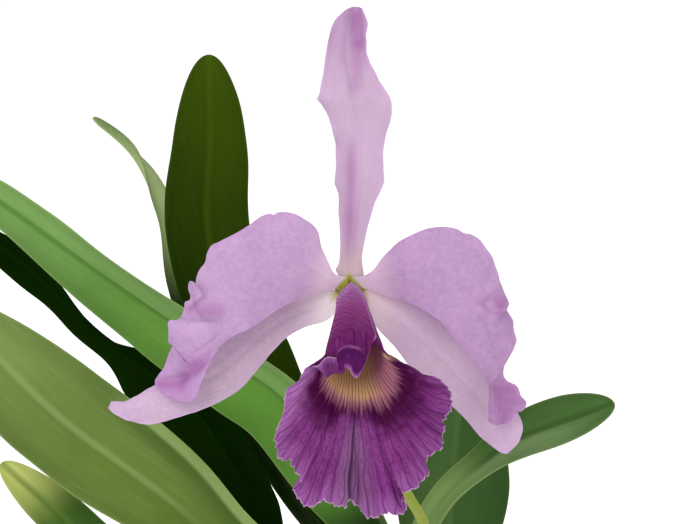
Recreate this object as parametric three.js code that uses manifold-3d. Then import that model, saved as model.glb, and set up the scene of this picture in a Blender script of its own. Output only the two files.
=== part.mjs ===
// A potted cattleya orchid in flower: pot, bark, rhizome, pseudobulbs, leaves, flower stalk and one
// open bloom. Millimetres, +Z up, origin at the centre of the pot's base. The bloom faces -Y.

import * as THREE from "three";
import { mergeVertices } from "three/addons/utils/BufferGeometryUtils.js";
import Module from "manifold-3d";

const wasm = await Module();
wasm.setup();

// ---------------------------------------------------------------- driving dimensions

const GAP = 0.3; // between pieces that touch

const POT_HEIGHT = 115;
const POT_BASE_RADIUS = 47.5;
const POT_RIM_RADIUS = 71;
const POT_RIM_DEPTH = 27;
const POT_WALL = 6;
const POT_FLOOR = 7;
const POT_RIM_STEP = 7; // how far the rim band stands out from the wall
const POT_RIM_DRAFT = 1.2; // how much wider the rim band is at its top
const BASE_ROUNDING = 1.5;
const RIM_ROUNDING = 2;
const FLOOR_ROUNDING = 3;
const POT_SIDES = 32;
const DRAIN_HOLES = 3;
const DRAIN_RADIUS = 5;
const DRAIN_CIRCLE = 27;
const DRAIN_SIDES = 16;

const BARK_TOP = 104;
const BARK_CHIPS = 19;
const CHIP_LENGTHS = [16.8, 27.6];
const CHIP_WIDTHS = [0.5, 0.75]; // shares of the chip's length
const CHIP_HEIGHT = 0.33;
const CHIP_ROLLS = [-0.25, 0.25];
const CHIP_TILTS = [-0.3, 0.3];
const CHIP_LIFTS = [0, 1.6];
const CHIP_REACH = 15.4; // how far the chips' centres keep off the wall
const CHIP_TURN = 2.4; // from one chip to the next: a sunflower spread covers the round top evenly
const CHIP_STRAY = 0.5;
const BARK_SEED = 11;
const BED_GAP = GAP + 0.1; // round the stems and roots that lie in the bark

const RHIZOME_RADIUS = 4.6;
const RHIZOME_Z = BARK_TOP + RHIZOME_RADIUS + GAP;
const KNUCKLE_RADIUS = 5.2;
const KNUCKLE_TOP = RHIZOME_Z + RHIZOME_RADIUS + 1.2;
const ROOT_RADIUS = 2.1;
const ROOT_TAPER = 0.35; // share of its radius that a root loses

const BLOOM_CENTRE = new THREE.Vector3(-7, -48, 330);
const BLOOM_TILT = THREE.MathUtils.degToRad(-6); // the face looks slightly up

const LEAF_MIDDLE = 2.0; // thickness at the midrib
const LEAF_EDGE = 0.9;
const TEPAL_THICKNESS = 0.9;
const LIP_THICKNESS = 0.75;
const COLUMN_RADIUS = 3.1;

// ---------------------------------------------------------------- solids

const vec = (p) => new THREE.Vector3(p[0], p[1], p[2]);

// Catmull-Rom through evenly spaced values: numbers, or lists of numbers of one length.
function through(values) {
  const last = values.length - 1;
  const blend = (a, b, c, d, f) =>
    b + 0.5 * f * (c - a + f * (2 * a - 5 * b + 4 * c - d + f * (3 * (b - c) + d - a)));
  return (t) => {
    const s = THREE.MathUtils.clamp(t, 0, 1) * last;
    const i = Math.min(Math.floor(s), last - 1);
    const [a, b, c, d] = [i - 1, i, i + 1, i + 2].map((k) => values[THREE.MathUtils.clamp(k, 0, last)]);
    return Array.isArray(b)
      ? b.map((_, k) => blend(a[k], b[k], c[k], d[k], s - i))
      : blend(a, b, c, d, s - i);
  };
}

function geometryOf(points, faces) {
  const geometry = new THREE.BufferGeometry();
  const numbers = points.flatMap((p) => p.toArray());
  geometry.setAttribute("position", new THREE.Float32BufferAttribute(numbers, 3));
  geometry.setIndex(faces.flat());
  return geometry;
}

// A closed sheet: a grid of points, thickened to both sides along its normals and split alike on
// both faces. surface(u, v) gives the middle of the sheet, thickness may be a function of (u, v).
function sheet(surface, rows, cols, thickness) {
  const width = cols + 1;
  const at = (i, j) => THREE.MathUtils.clamp(i, 0, rows) * width + THREE.MathUtils.clamp(j, 0, cols);
  const middle = [];
  for (let i = 0; i <= rows; i++) {
    for (let j = 0; j <= cols; j++) middle.push(surface(i / rows, j / cols));
  }
  const front = [];
  const back = [];
  for (let i = 0; i <= rows; i++) {
    for (let j = 0; j <= cols; j++) {
      const along = middle[at(i + 1, j)].clone().sub(middle[at(i - 1, j)]);
      const across = middle[at(i, j + 1)].clone().sub(middle[at(i, j - 1)]);
      const normal = along.cross(across).normalize();
      const t = typeof thickness === "function" ? thickness(i / rows, j / cols) : thickness;
      front.push(middle[at(i, j)].clone().addScaledVector(normal, t / 2));
      back.push(middle[at(i, j)].clone().addScaledVector(normal, -t / 2));
    }
  }
  const far = front.length; // index of the first point of the back face
  const faces = [];
  for (let i = 0; i < rows; i++) {
    for (let j = 0; j < cols; j++) {
      const [a, b, c, d] = [at(i, j), at(i + 1, j), at(i + 1, j + 1), at(i, j + 1)];
      faces.push([a, b, c], [a, c, d]);
      faces.push([far + a, far + c, far + b], [far + a, far + d, far + c]);
    }
  }
  const edge = (p, q) => faces.push([far + p, far + q, q], [far + p, q, p]);
  for (let i = 0; i < rows; i++) {
    edge(at(i, 0), at(i + 1, 0));
    edge(at(i + 1, cols), at(i, cols));
  }
  for (let j = 0; j < cols; j++) {
    edge(at(0, j + 1), at(0, j));
    edge(at(rows, j), at(rows, j + 1));
  }
  return geometryOf([...front, ...back], faces);
}

// A closed rod along a curve. radius(t, angle) may draw ribs; flat squeezes it along one side.
function rod(curve, rings, sides, radius, flat = 1, sideHint = new THREE.Vector3(1, 0, 0)) {
  const points = [];
  const faces = [];
  for (let i = 0; i <= rings; i++) {
    const t = i / rings;
    const centre = curve.getPointAt(t);
    const tangent = curve.getTangentAt(t);
    const side = sideHint.clone().addScaledVector(tangent, -sideHint.dot(tangent)).normalize();
    const up = tangent.clone().cross(side);
    for (let k = 0; k < sides; k++) {
      const angle = (2 * Math.PI * k) / sides;
      const r = radius(t, angle);
      const point = centre.clone().addScaledVector(side, r * Math.cos(angle));
      points.push(point.addScaledVector(up, flat * r * Math.sin(angle)));
    }
  }
  for (let i = 0; i < rings; i++) {
    for (let k = 0; k < sides; k++) {
      const next = (k + 1) % sides;
      const [a, b] = [i * sides + k, i * sides + next];
      const [c, d] = [a + sides, b + sides];
      faces.push([a, b, d], [a, d, c]);
    }
  }
  const start = points.length;
  points.push(curve.getPointAt(0), curve.getPointAt(1));
  for (let k = 0; k < sides; k++) {
    const next = (k + 1) % sides;
    faces.push([start, next, k]);
    faces.push([start + 1, rings * sides + k, rings * sides + next]);
  }
  return geometryOf(points, faces);
}

function manifoldOf(geometry) {
  const bare = geometry.clone();
  bare.deleteAttribute("normal");
  bare.deleteAttribute("uv");
  const merged = mergeVertices(bare, 1e-3);
  return new wasm.Manifold(
    new wasm.Mesh({
      numProp: 3,
      vertProperties: new Float32Array(merged.attributes.position.array),
      triVerts: new Uint32Array(merged.index.array),
    }),
  );
}

// The largest body of a solid: loose scraps and sealed hollows go.
function geometryFrom(solid) {
  const [body] = solid.decompose().sort((a, b) => b.volume() - a.volume());
  const mesh = body.getMesh();
  const geometry = new THREE.BufferGeometry();
  geometry.setAttribute("position", new THREE.BufferAttribute(new Float32Array(mesh.vertProperties), 3));
  geometry.setIndex(new THREE.BufferAttribute(new Uint32Array(mesh.triVerts), 1));
  return geometry;
}

const fused = (geometries) => geometries.map(manifoldOf).reduce((all, one) => all.add(one));

function turned(profile, sides) {
  const points = profile.map(([r, z]) => new THREE.Vector2(r, z));
  return new THREE.LatheGeometry(points, sides).rotateX(Math.PI / 2);
}

const curveOf = (points) => new THREE.CatmullRomCurve3(points.map(vec), false, "centripetal");

// A repeatable run of numbers between 0 and 1.
function seeded(seed) {
  let state = seed;
  return () => {
    state = (state + 0x6d2b79f5) | 0;
    let t = Math.imul(state ^ (state >>> 15), 1 | state);
    t = (t + Math.imul(t ^ (t >>> 7), 61 | t)) ^ t;
    return ((t ^ (t >>> 14)) >>> 0) / 4294967296;
  };
}

const plant = new THREE.Group();

function piece(parent, name, geometry, color, roughness) {
  const mesh = new THREE.Mesh(geometry, new THREE.MeshStandardMaterial({ color, roughness, metalness: 0 }));
  mesh.name = name;
  parent.add(mesh);
  return mesh;
}

// ---------------------------------------------------------------- pot

const RIM_BOTTOM = POT_HEIGHT - POT_RIM_DEPTH;
const WALL_RADIUS = POT_RIM_RADIUS - POT_RIM_STEP; // outer wall where it meets the rim band
const innerRadius = (z) =>
  THREE.MathUtils.mapLinear(z, 0, RIM_BOTTOM, POT_BASE_RADIUS, WALL_RADIUS) - POT_WALL;

function potGeometry() {
  const body = turned(
    [
      [0, 0],
      [POT_BASE_RADIUS - BASE_ROUNDING, 0],
      [POT_BASE_RADIUS, BASE_ROUNDING],
      [WALL_RADIUS, RIM_BOTTOM],
      [POT_RIM_RADIUS - RIM_ROUNDING, RIM_BOTTOM],
      [POT_RIM_RADIUS - POT_RIM_DRAFT, RIM_BOTTOM + RIM_ROUNDING],
      [POT_RIM_RADIUS, POT_HEIGHT - RIM_ROUNDING],
      [POT_RIM_RADIUS - RIM_ROUNDING, POT_HEIGHT],
      [innerRadius(POT_HEIGHT) + RIM_ROUNDING, POT_HEIGHT],
      [innerRadius(POT_HEIGHT - RIM_ROUNDING), POT_HEIGHT - RIM_ROUNDING],
      [innerRadius(POT_FLOOR + FLOOR_ROUNDING), POT_FLOOR + FLOOR_ROUNDING],
      [innerRadius(POT_FLOOR) - FLOOR_ROUNDING, POT_FLOOR],
      [0, POT_FLOOR],
    ],
    POT_SIDES,
  );
  let pot = manifoldOf(body);
  for (let i = 0; i < DRAIN_HOLES; i++) {
    const angle = (2 * Math.PI * (i + 0.25)) / DRAIN_HOLES;
    const hole = new THREE.CylinderGeometry(DRAIN_RADIUS, DRAIN_RADIUS, 4 * POT_FLOOR, DRAIN_SIDES)
      .rotateX(Math.PI / 2)
      .translate(DRAIN_CIRCLE * Math.cos(angle), DRAIN_CIRCLE * Math.sin(angle), 0);
    pot = pot.subtract(manifoldOf(hole));
  }
  return geometryFrom(pot);
}

// ---------------------------------------------------------------- shoots

// Each shoot is one pseudobulb with one leaf. foot is on the rhizome, top carries the leaf, path
// is the midrib beyond the leaf's folded base, face is the way its upper side looks at the base,
// the middle and the tip, half is its half width and outline how that changes from base to tip.
const STRAP = [0.34, 0.5, 0.72, 0.9, 0.98, 1, 1, 1];
const OVAL = [0.34, 0.5, 0.72, 0.93, 1.03, 1, 0.92, 0.86];
const TAPERED = [0.34, 0.6, 0.95, 1.1, 1, 0.8, 0.66, 0.62];
const WAISTED = [0.34, 0.6, 0.95, 1.1, 0.98, 0.72, 0.56, 0.66];
const PETIOLED = [0.4, 0.42, 0.43, 0.45, 0.56, 0.82, 1, 1];
const ROUND_FROM = 0.7; // share of the length where the rounded end begins
const SHOOTS = [
  {
    name: "upright", foot: [-6, 28], top: [-5, 33, 205], half: 17.2, outline: STRAP, fold: 0.16,
    path: [[-21, 41, 240], [-43, 54, 282], [-58, 61, 310], [-65, 66, 340], [-64, 69, 373], [-64, 69, 409]],
    face: [[0.2, -1, 0.2], [0.1, -1, 0.1], [0, -1, 0]],
  },
  {
    name: "twisted", foot: [-25, 39], top: [-19, 44, 205], half: 11.5, outline: STRAP, fold: 0.2,
    path: [
      [-28, 54, 228], [-43, 64, 251], [-68, 77, 294], [-80, 86, 322], [-87, 91, 343], [-99, 96, 368],
      [-117, 98, 383],
    ],
    face: [[0.2, -1, 0.2], [0.3, -1, 0.2], [0.6, -1, 0.4], [1, -0.3, 0.7], [0.5, 0.5, 1]],
  },
  {
    name: "upper_left", foot: [9, 7], top: [8, 3, 205], half: 18.5, outline: WAISTED, fold: 0.42,
    path: [
      [6, -3, 226], [-10, 1, 248], [-31, 5, 280], [-51, 6, 295], [-92, 4, 323], [-132, -5, 354],
      [-151, -13, 367],
    ],
    face: [[-0.3, -1, 0.1], [-0.4, -0.8, -0.4], [-0.35, -0.85, -0.35], [0.1, -0.9, 0.2]],
  },
  {
    name: "far_left", foot: [-32, 13], top: [-35, 13, 205], half: 16.5, outline: TAPERED, fold: 0.2,
    path: [
      [-42, 21, 233], [-54, 27, 252], [-68, 28, 273], [-87, 28, 289],
      [-105, 29, 302], [-122, 27, 321], [-138, 23, 335], [-156, 18, 347],
    ],
    face: [
      [0, -1, 0.2], [-0.1, -1, 0], [-0.25, -0.9, -0.2], [-0.3, -0.85, -0.3], [-0.35, -0.8, -0.35],
      [-0.42, -0.8, -0.4], [-0.6, -0.45, -0.63], [-0.57, -0.52, -0.58], [-0.46, -0.68, -0.47],
      [-0.38, -0.8, -0.38], [-0.3, -0.8, -0.3],
    ],
  },
  {
    name: "lower_left", foot: [-13, -12], top: [-16, -17, 203], half: 19.5, outline: OVAL, fold: 0.32,
    path: [[-28, -18, 218], [-51, -23, 233], [-71, -26, 251], [-109, -34, 284], [-142, -45, 324]],
    face: [[0.1, -1, 0.3], [0.3, -0.9, 0.4], [0.1, -1, 0.2]],
  },
  {
    name: "low", foot: [-36, -19], top: [-37, -17, 196], half: 9, outline: STRAP, fold: 0.25,
    path: [[-57, -15, 204], [-80, -13, 214], [-100, -10, 229], [-116, -7, 243], [-134, -6, 259]],
    face: [[0, -1, 0.4], [0, -0.9, 0.6], [0, -0.9, 0.6]],
  },
  {
    name: "right", foot: [28, -27], top: [19, -34, 203], half: 11.2, outline: PETIOLED, fold: 0.32,
    path: [[18, -22, 233], [26, -14, 248], [41, -10, 260], [54, -8, 268], [69, -8, 274], [88, -11, 282]],
    face: [[-0.1, -1, 0.1], [-0.4, -0.9, 0.5], [-0.3, -0.8, 0.5]],
  },
  {
    name: "rear_right", foot: [34, 14], top: [32, 13, 190], half: 20.5, outline: TAPERED, fold: 0.18,
    path: [[31, 18, 208], [32, 29, 228], [35, 46, 250], [39, 66, 273], [42, 84, 290]],
    face: [[0, -1, 0.4], [0, -0.9, 0.6], [0, -0.8, 0.8]],
  },
];
const FLOWERING = "right"; // the newest shoot carries the flower stalk, in front of its leaf
const FLOWERING_OFFSET = 2.9;

const BULB_TOP_RADIUS = 4.8;
const BULB_FOOT_RADIUS = 5;
const bulbRadius = through([BULB_FOOT_RADIUS, 5.2, 6.6, 8.6, 9.8, 9.4, 7.4, BULB_TOP_RADIUS]);
const BULB_FURROW = 0.05;
const BULB_FURROWS = 5;
const BULB_FLAT = 0.86;
const BULB_RINGS = 7;
const BULB_SIDES = 10;
const LEAF_SEAT = GAP + 0.2; // a leaf's foot is not quite square to its bulb
const LEAF_KNEE = 8; // how far a leaf goes on straight before it bends
const LEAF_CLASP = 0.7; // how much more the base is folded than the blade
const FLOWERING_CLASP = 0.25;
const CLASP_END = 0.15; // share of the length where the extra fold ends
const FOLD_CURVE = 1.3; // 1 would fold the blade flat-sided, 2 round
const TIP_WIDTH = 0.1; // share of the half width that is left at the tip
const TIP_CROWD = 1.25; // how much closer the rows stand towards the tip
const LEAF_ROWS = 15;
const LEAF_COLS = 4;

function bulbGeometry(shoot) {
  const foot = new THREE.Vector3(shoot.foot[0], shoot.foot[1], KNUCKLE_TOP);
  const lean = vec(shoot.top).sub(foot).angleTo(new THREE.Vector3(0, 0, 1));
  foot.z += GAP + BULB_FOOT_RADIUS * Math.sin(lean); // the low side of the leaning foot stays clear
  const axis = new THREE.LineCurve3(foot, vec(shoot.top));
  const furrow = (t, angle) => 1 + BULB_FURROW * Math.sin(Math.PI * t) * Math.cos(BULB_FURROWS * angle);
  const radius = (t, angle) => bulbRadius(t) * furrow(t, angle);
  return rod(axis, BULB_RINGS, BULB_SIDES, radius, BULB_FLAT);
}

function leafGeometry(shoot) {
  const foot = new THREE.Vector3(shoot.foot[0], shoot.foot[1], KNUCKLE_TOP);
  const axis = vec(shoot.top).sub(foot).normalize();
  const start = vec(shoot.top).addScaledVector(axis, LEAF_SEAT);
  const flowers = shoot.name === FLOWERING;
  if (flowers) start.y += FLOWERING_OFFSET;
  const knee = start.clone().addScaledVector(axis, LEAF_KNEE);
  const midrib = new THREE.CatmullRomCurve3([start, knee, ...shoot.path.map(vec)], false, "centripetal");
  const facing = through(shoot.face);
  const outline = through(shoot.outline);
  const clasp = flowers ? FLOWERING_CLASP : LEAF_CLASP;
  const surface = (u, v) => {
    const along = 1 - Math.pow(1 - u, TIP_CROWD);
    const tangent = midrib.getTangentAt(along);
    const across = tangent.clone().cross(vec(facing(along))).normalize();
    const up = across.clone().cross(tangent);
    const s = 2 * v - 1;
    const round = Math.max(along - ROUND_FROM, 0) / (1 - ROUND_FROM);
    const half = shoot.half * outline(along) * Math.max(Math.sqrt(1 - round * round), TIP_WIDTH);
    const fold = shoot.fold + clasp * (1 - Math.min(along / CLASP_END, 1));
    return midrib
      .getPointAt(along)
      .addScaledVector(across, s * half * Math.cos(fold))
      .addScaledVector(up, Math.pow(Math.abs(s), FOLD_CURVE) * half * Math.sin(fold));
  };
  const thickness = (u, v) => THREE.MathUtils.lerp(LEAF_MIDDLE, LEAF_EDGE, Math.abs(2 * v - 1));
  return sheet(surface, LEAF_ROWS, LEAF_COLS, thickness);
}

// ---------------------------------------------------------------- rhizome, roots and bark

const HUB = [-4, 4];
const LEADS = [
  ["upright", "twisted"],
  ["upper_left", "rear_right"],
  ["lower_left", "low"],
  ["far_left"],
  ["right"],
];
const LEAD_RINGS = 3; // for each shoot
const LEAD_SIDES = 8;
const KNUCKLE_SIDES = 10;
const ROOT_RINGS = 8;
const ROOT_SIDES = 6;
const ROOTS = [
  [[6, -14, RHIZOME_Z], [4, -27, RHIZOME_Z + 1], [-8, -40, RHIZOME_Z - 2], [-20, -48, BARK_TOP - 8]],
  [[24, -20, RHIZOME_Z], [40, -20, RHIZOME_Z + 2], [48, -8, RHIZOME_Z - 2], [50, 8, BARK_TOP - 9]],
  [[-30, -16, RHIZOME_Z], [-42, -22, RHIZOME_Z + 1], [-46, -30, BARK_TOP - 8]],
  [[-20, 32, RHIZOME_Z], [-12, 46, RHIZOME_Z + 1], [4, 53, RHIZOME_Z - 2], [18, 52, BARK_TOP - 9]],
  [[30, 12, RHIZOME_Z], [44, 22, RHIZOME_Z + 1], [41, 36, BARK_TOP - 8]],
];

// extra makes the same shape fatter, for the bed that it lies in.
function rhizomeSolid(extra) {
  const feet = new Map(SHOOTS.map((shoot) => [shoot.name, shoot.foot]));
  const parts = [];
  for (const lead of LEADS) {
    const stops = [HUB, ...lead.map((name) => feet.get(name))].map(([x, y]) => [x, y, RHIZOME_Z]);
    parts.push(rod(curveOf(stops), LEAD_RINGS * lead.length, LEAD_SIDES, () => RHIZOME_RADIUS + extra));
  }
  for (const [x, y] of feet.values()) {
    const height = KNUCKLE_TOP - RHIZOME_Z;
    const radius = KNUCKLE_RADIUS + extra;
    const knuckle = new THREE.CylinderGeometry(radius, radius, height, KNUCKLE_SIDES);
    parts.push(knuckle.rotateX(Math.PI / 2).translate(x, y, RHIZOME_Z + height / 2));
  }
  for (const root of ROOTS) {
    const taper = (t) => ROOT_RADIUS * (1 - ROOT_TAPER * t * t) + extra;
    parts.push(rod(curveOf(root), ROOT_RINGS, ROOT_SIDES, taper, 1, new THREE.Vector3(0, 0, 1)));
    if (extra) parts.push(new THREE.IcosahedronGeometry(taper(1) + extra, 0).translate(...root.at(-1)));
  }
  return fused(parts);
}

function barkGeometry() {
  const random = seeded(BARK_SEED);
  const between = ([low, high]) => THREE.MathUtils.lerp(low, high, random());
  const reach = innerRadius(BARK_TOP) - GAP - CHIP_REACH;
  const bed = turned(
    [
      [0, POT_FLOOR + GAP],
      [innerRadius(POT_FLOOR) - FLOOR_ROUNDING - 2 * GAP, POT_FLOOR + GAP],
      [innerRadius(POT_FLOOR + FLOOR_ROUNDING) - GAP, POT_FLOOR + FLOOR_ROUNDING],
      [innerRadius(BARK_TOP) - GAP, BARK_TOP],
      [0, BARK_TOP],
    ],
    POT_SIDES,
  );
  let bark = manifoldOf(bed);
  for (let i = 0; i < BARK_CHIPS; i++) {
    const out = reach * Math.sqrt((i + 0.5) / BARK_CHIPS);
    const angle = CHIP_TURN * i + CHIP_STRAY * random();
    const length = between(CHIP_LENGTHS);
    const chip = new THREE.BoxGeometry(length, length * between(CHIP_WIDTHS), length * CHIP_HEIGHT)
      .rotateX(between(CHIP_ROLLS))
      .rotateY(between(CHIP_TILTS))
      .rotateZ(2 * Math.PI * random())
      .translate(out * Math.cos(angle), out * Math.sin(angle), BARK_TOP + between(CHIP_LIFTS));
    bark = bark.add(manifoldOf(chip));
  }
  return geometryFrom(bark.subtract(rhizomeSolid(BED_GAP)));
}

// ---------------------------------------------------------------- bloom

const bloom = new THREE.Group();
bloom.position.copy(BLOOM_CENTRE);
bloom.rotation.x = BLOOM_TILT;

// In the bloom's own frame x runs to the right, z up and y away from its face. Each row across a
// sepal or petal is [x and z on one edge, x and z on the other edge, y of the middle, how far
// forward the edges stand].
const SEPAL_BASE = 2.55;
const PETAL_BASE = 1.3;

const DORSAL_SEPAL = [
  [-4.4, 3.2, 4.2, 3.2, SEPAL_BASE, 0],
  [-3.5, 9, 4.0, 9, 3.2, 0.5],
  [-3.1, 17, 5.2, 17, 4.6, 1.2],
  [-3.8, 28, 8.8, 28, 6, 1.8],
  [-4.8, 36, 11.1, 36, 7, 2.2],
  [-4.7, 46, 11.2, 46, 8, 2.6],
  [-6.8, 54, 13, 54, 8.6, 2.8],
  [-10.8, 60.6, 13.9, 60, 9, 3],
  [-9.7, 66, 11.6, 66, 9, 3],
  [-8.6, 72, 8, 72, 9, 2.8],
  [-7.8, 78, 5.6, 78, 9, 2.6],
  [-6.5, 84, 5.1, 84, 8.6, 2.2],
  [-4.2, 88.2, 5.1, 88.4, 8, 1.4],
  [-0.9, 91.2, 3.4, 92, 7.2, 0.5],
];
const LATERAL_SEPAL_LEFT = [
  [-1.9, -6.2, -4.8, -2.4, SEPAL_BASE, 0],
  [-4.6, -9.8, -7.4, -2.2, 3.2, -0.2],
  [-8.5, -12.9, -12, -2.6, 4.2, -0.5],
  [-15, -14.9, -18, -4.6, 5.6, -0.8],
  [-21.5, -18.6, -25, -7.6, 6.6, -1],
  [-27, -24.3, -32, -11.6, 7.2, -1],
  [-32, -30.4, -39, -16.2, 7.2, -0.6],
  [-37.5, -36.2, -46, -21, 6.4, 0],
  [-45.6, -40.7, -53, -25.8, 4.6, 0.6],
  [-54, -43.6, -60, -30.4, 2, 1.2],
  [-63, -45.8, -66, -34.6, -1, 1.6],
  [-70.5, -45.4, -71.5, -38, -4, 1.2],
  [-76, -42.9, -75.4, -38.4, -6, 0.6],
  [-78.7, -40.6, -77.6, -38.4, -7, 0.2],
];
const LATERAL_SEPAL_RIGHT = [
  [1.9, -6.2, 4.8, -2.4, SEPAL_BASE, 0],
  [5.6, -10.5, 9, -2.2, 3.2, -0.2],
  [10.3, -16.6, 16, -4.6, 4.4, -0.5],
  [14.8, -21.3, 24, -8.6, 5.8, -0.8],
  [20, -28, 32, -14, 7, -0.8],
  [26, -34, 39, -20.5, 7.4, -0.6],
  [32, -39.3, 45, -27.5, 7.2, 0],
  [38, -45, 50, -34.5, 6.2, 0.6],
  [42.8, -50.7, 54.5, -41, 4.8, 1],
  [46.6, -54, 57.4, -47, 3.4, 1],
  [49.6, -55.9, 56.4, -51.4, 2.2, 0.6],
  [52, -56.6, 54.2, -54.6, 1.4, 0.2],
];
const PETAL_LEFT = [
  [-3.1, -2, -3.1, 1.8, PETAL_BASE, 0],
  [-7.2, -2.4, -5.4, 5, 0, 0],
  [-14.2, -3.3, -9.5, 12.2, -2.4, 0],
  [-20, -6.4, -15.6, 21, -5, 0.6],
  [-25, -9.5, -27.5, 22.8, -7, 0.4],
  [-29, -12.4, -35.4, 17.4, -8, 0.2],
  [-33, -14.7, -44, 12.3, -8.6, 0],
  [-37.5, -17.6, -49, 3, -8.6, -0.5],
  [-41.8, -22.6, -53, -5, -8.2, -1],
  [-46.5, -27.5, -58.3, -13, -7.6, -1],
  [-49.5, -32.2, -60.5, -25, -6.8, -0.6],
  [-50.8, -36.6, -62.8, -33, -6, 0],
  [-52.6, -39.4, -58.5, -38.2, -5, 0],
];
const PETAL_RIGHT = [
  [3.1, -2, 3.1, 1.8, PETAL_BASE, 0],
  [7.4, -2.6, 6.2, 3.6, 0, 0],
  [14.3, -4.7, 11.7, 10.4, -2.4, 0],
  [19.5, -6.8, 18, 14.8, -5, 0.6],
  [24.6, -9.3, 27, 18, -7, 0.4],
  [29.7, -12.9, 35.8, 17.1, -8, 0.2],
  [33.9, -17.6, 43.1, 12.4, -8.6, 0],
  [37.5, -22.2, 47.9, 3.6, -8.6, -0.5],
  [41.2, -27, 50.3, -6, -8.2, -1],
  [43.8, -31.5, 53.4, -15, -7.6, -1],
  [44.8, -37, 51.8, -26, -6.8, -0.6],
  [45.2, -42, 56.6, -38.5, -6, 0],
  [47, -45.8, 51.8, -46.6, -5, 0],
];

const SEPAL_GRID = [20, 6]; // rows along and columns across
const PETAL_GRID = [26, 8];
const flatEdge = () => 0;

// rippled(u, v) moves the sheet forward and back.
function tepalGeometry(rowsOfEdges, [rows, cols], rippled = flatEdge) {
  const edges = through(rowsOfEdges);
  const surface = (u, v) => {
    const [x0, z0, x1, z1, middle, forward] = edges(u);
    const s = 2 * v - 1;
    return new THREE.Vector3(
      THREE.MathUtils.lerp(x0, x1, v),
      middle - forward * s * s + rippled(u, v),
      THREE.MathUtils.lerp(z0, z1, v),
    );
  };
  return sheet(surface, rows, cols, TEPAL_THICKNESS);
}

// The petals' outer margins are waved; the waves die out towards the midrib and the base, and
// fade at the tip.
const RIPPLE = 2.6;
const RIPPLE_WAVES = 3.6;
const RIPPLE_GROWS = [0.2, 0.6]; // shares of the length
const RIPPLE_FADES = [0.88, 1];
const RIPPLE_FADE = 0.6;
const rippleFrom = (phase) => (u, v) => {
  const grown = THREE.MathUtils.smoothstep(u, ...RIPPLE_GROWS);
  const left = 1 - RIPPLE_FADE * THREE.MathUtils.smoothstep(u, ...RIPPLE_FADES);
  return RIPPLE * grown * left * v * v * Math.sin(2 * Math.PI * (RIPPLE_WAVES * u + phase));
};

// ---- lip: one sheet, rolled into a tube over the column with its left margin over its right one,
// and flared into the frilled front lobe. Each row of the rim is [angle round the tube from
// straight down, x, y, z]; angles run from the left margin to the right margin.
const LIP_RIM = [
  [-222, 6.5, -33, -18],
  [-200, 5, -35.5, -22.6],
  [-182, 2.4, -37, -28.2],
  [-160, -1.2, -36, -24.8],
  [-140, -4.6, -33.5, -22.3],
  [-124, -8.4, -32, -23.4],
  [-108, -13.6, -32, -25.9],
  [-92, -19, -33, -31.5],
  [-79, -20.4, -34, -38.2],
  [-68, -22.3, -34, -44],
  [-57, -22.7, -35, -50.6],
  [-46, -18.2, -36.5, -54.6],
  [-37, -15.4, -37.5, -59.2],
  [-29, -16.6, -38, -64.2],
  [-21, -11.8, -39, -67.7],
  [-13, -7.6, -40, -65.2],
  [-6, -2.8, -40, -67.4],
  [0, 0.6, -40, -64.6],
  [6, 4.8, -40, -69.4],
  [13, 11.5, -39, -69.8],
  [21, 16.6, -38, -67],
  [30, 20.2, -38, -61.8],
  [40, 23.6, -37, -56.2],
  [51, 27.6, -36, -50],
  [61, 29.2, -35, -44.4],
  [72, 30.4, -34, -38.6],
  [83, 29.4, -33, -31.6],
  [97, 24, -33, -28.6],
  [112, 16.8, -31, -24.9],
  [130, 12, -30, -22.4],
  [160, 8.4, -31, -18.8],
  [188, 5.2, -32, -17.4],
];
// The tube's middle line from the lip's foot to its mouth, and its radius along it.
const TUBE_LINE = [[0.4, 0.3, -5.2], [0.5, -3.4, -6], [0.8, -10, -9.2], [1.1, -19, -15], [1.5, -28, -22]];
const tubeRadius = through([4.7, 5, 6, 7.4, 8.9]);
const TUBE_POINT = 0.5; // how much the roof narrows to a point at the foot
const TUBE_SHARE = 0.5; // share of each line that runs in the tube
const LAP_LEFT = -150; // beyond this angle the left margin lifts over the right one
const LAP_RIGHT = 135;
const LAP_EASE = 30; // degrees over which a margin lifts
const LAP_LIFT = [0.55, 0.95]; // at the foot and at the mouth
const FLARE_LEAVE = 0.36; // how far the flare keeps the tube's direction, as a share of its length
const FRILL = 2; // how far the lobe's margin waves forward and back
const FRILL_LOBES = 1.1; // and outwards
const FRILL_WAVES = 15;
const FRILL_STARTS = [0.18, 0.3]; // shares of the way round the rim
const FRILL_ENDS = [0.84, 0.93];
const FRILL_REACH = 4; // the higher, the closer to the margin the frill keeps
const LIP_ROWS = 60;
const LIP_COLS = 12;

const tubeLine = curveOf(TUBE_LINE);
const lipRim = through(LIP_RIM);

// A point of the tube: t runs along it, degrees round it from straight down, radius as given.
function tubePoint(t, degrees, radius) {
  const tangent = tubeLine.getTangentAt(t);
  const right = new THREE.Vector3(1, 0, 0).addScaledVector(tangent, -tangent.x).normalize();
  const down = right.clone().cross(tangent).normalize();
  const angle = THREE.MathUtils.degToRad(degrees);
  const roof = Math.max(-Math.cos(angle), 0);
  const narrow = 1 - TUBE_POINT * roof * Math.max(1 - 2 * t, 0);
  return tubeLine
    .getPointAt(t)
    .addScaledVector(down, radius * Math.cos(angle))
    .addScaledVector(right, radius * narrow * Math.sin(angle));
}

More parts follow.
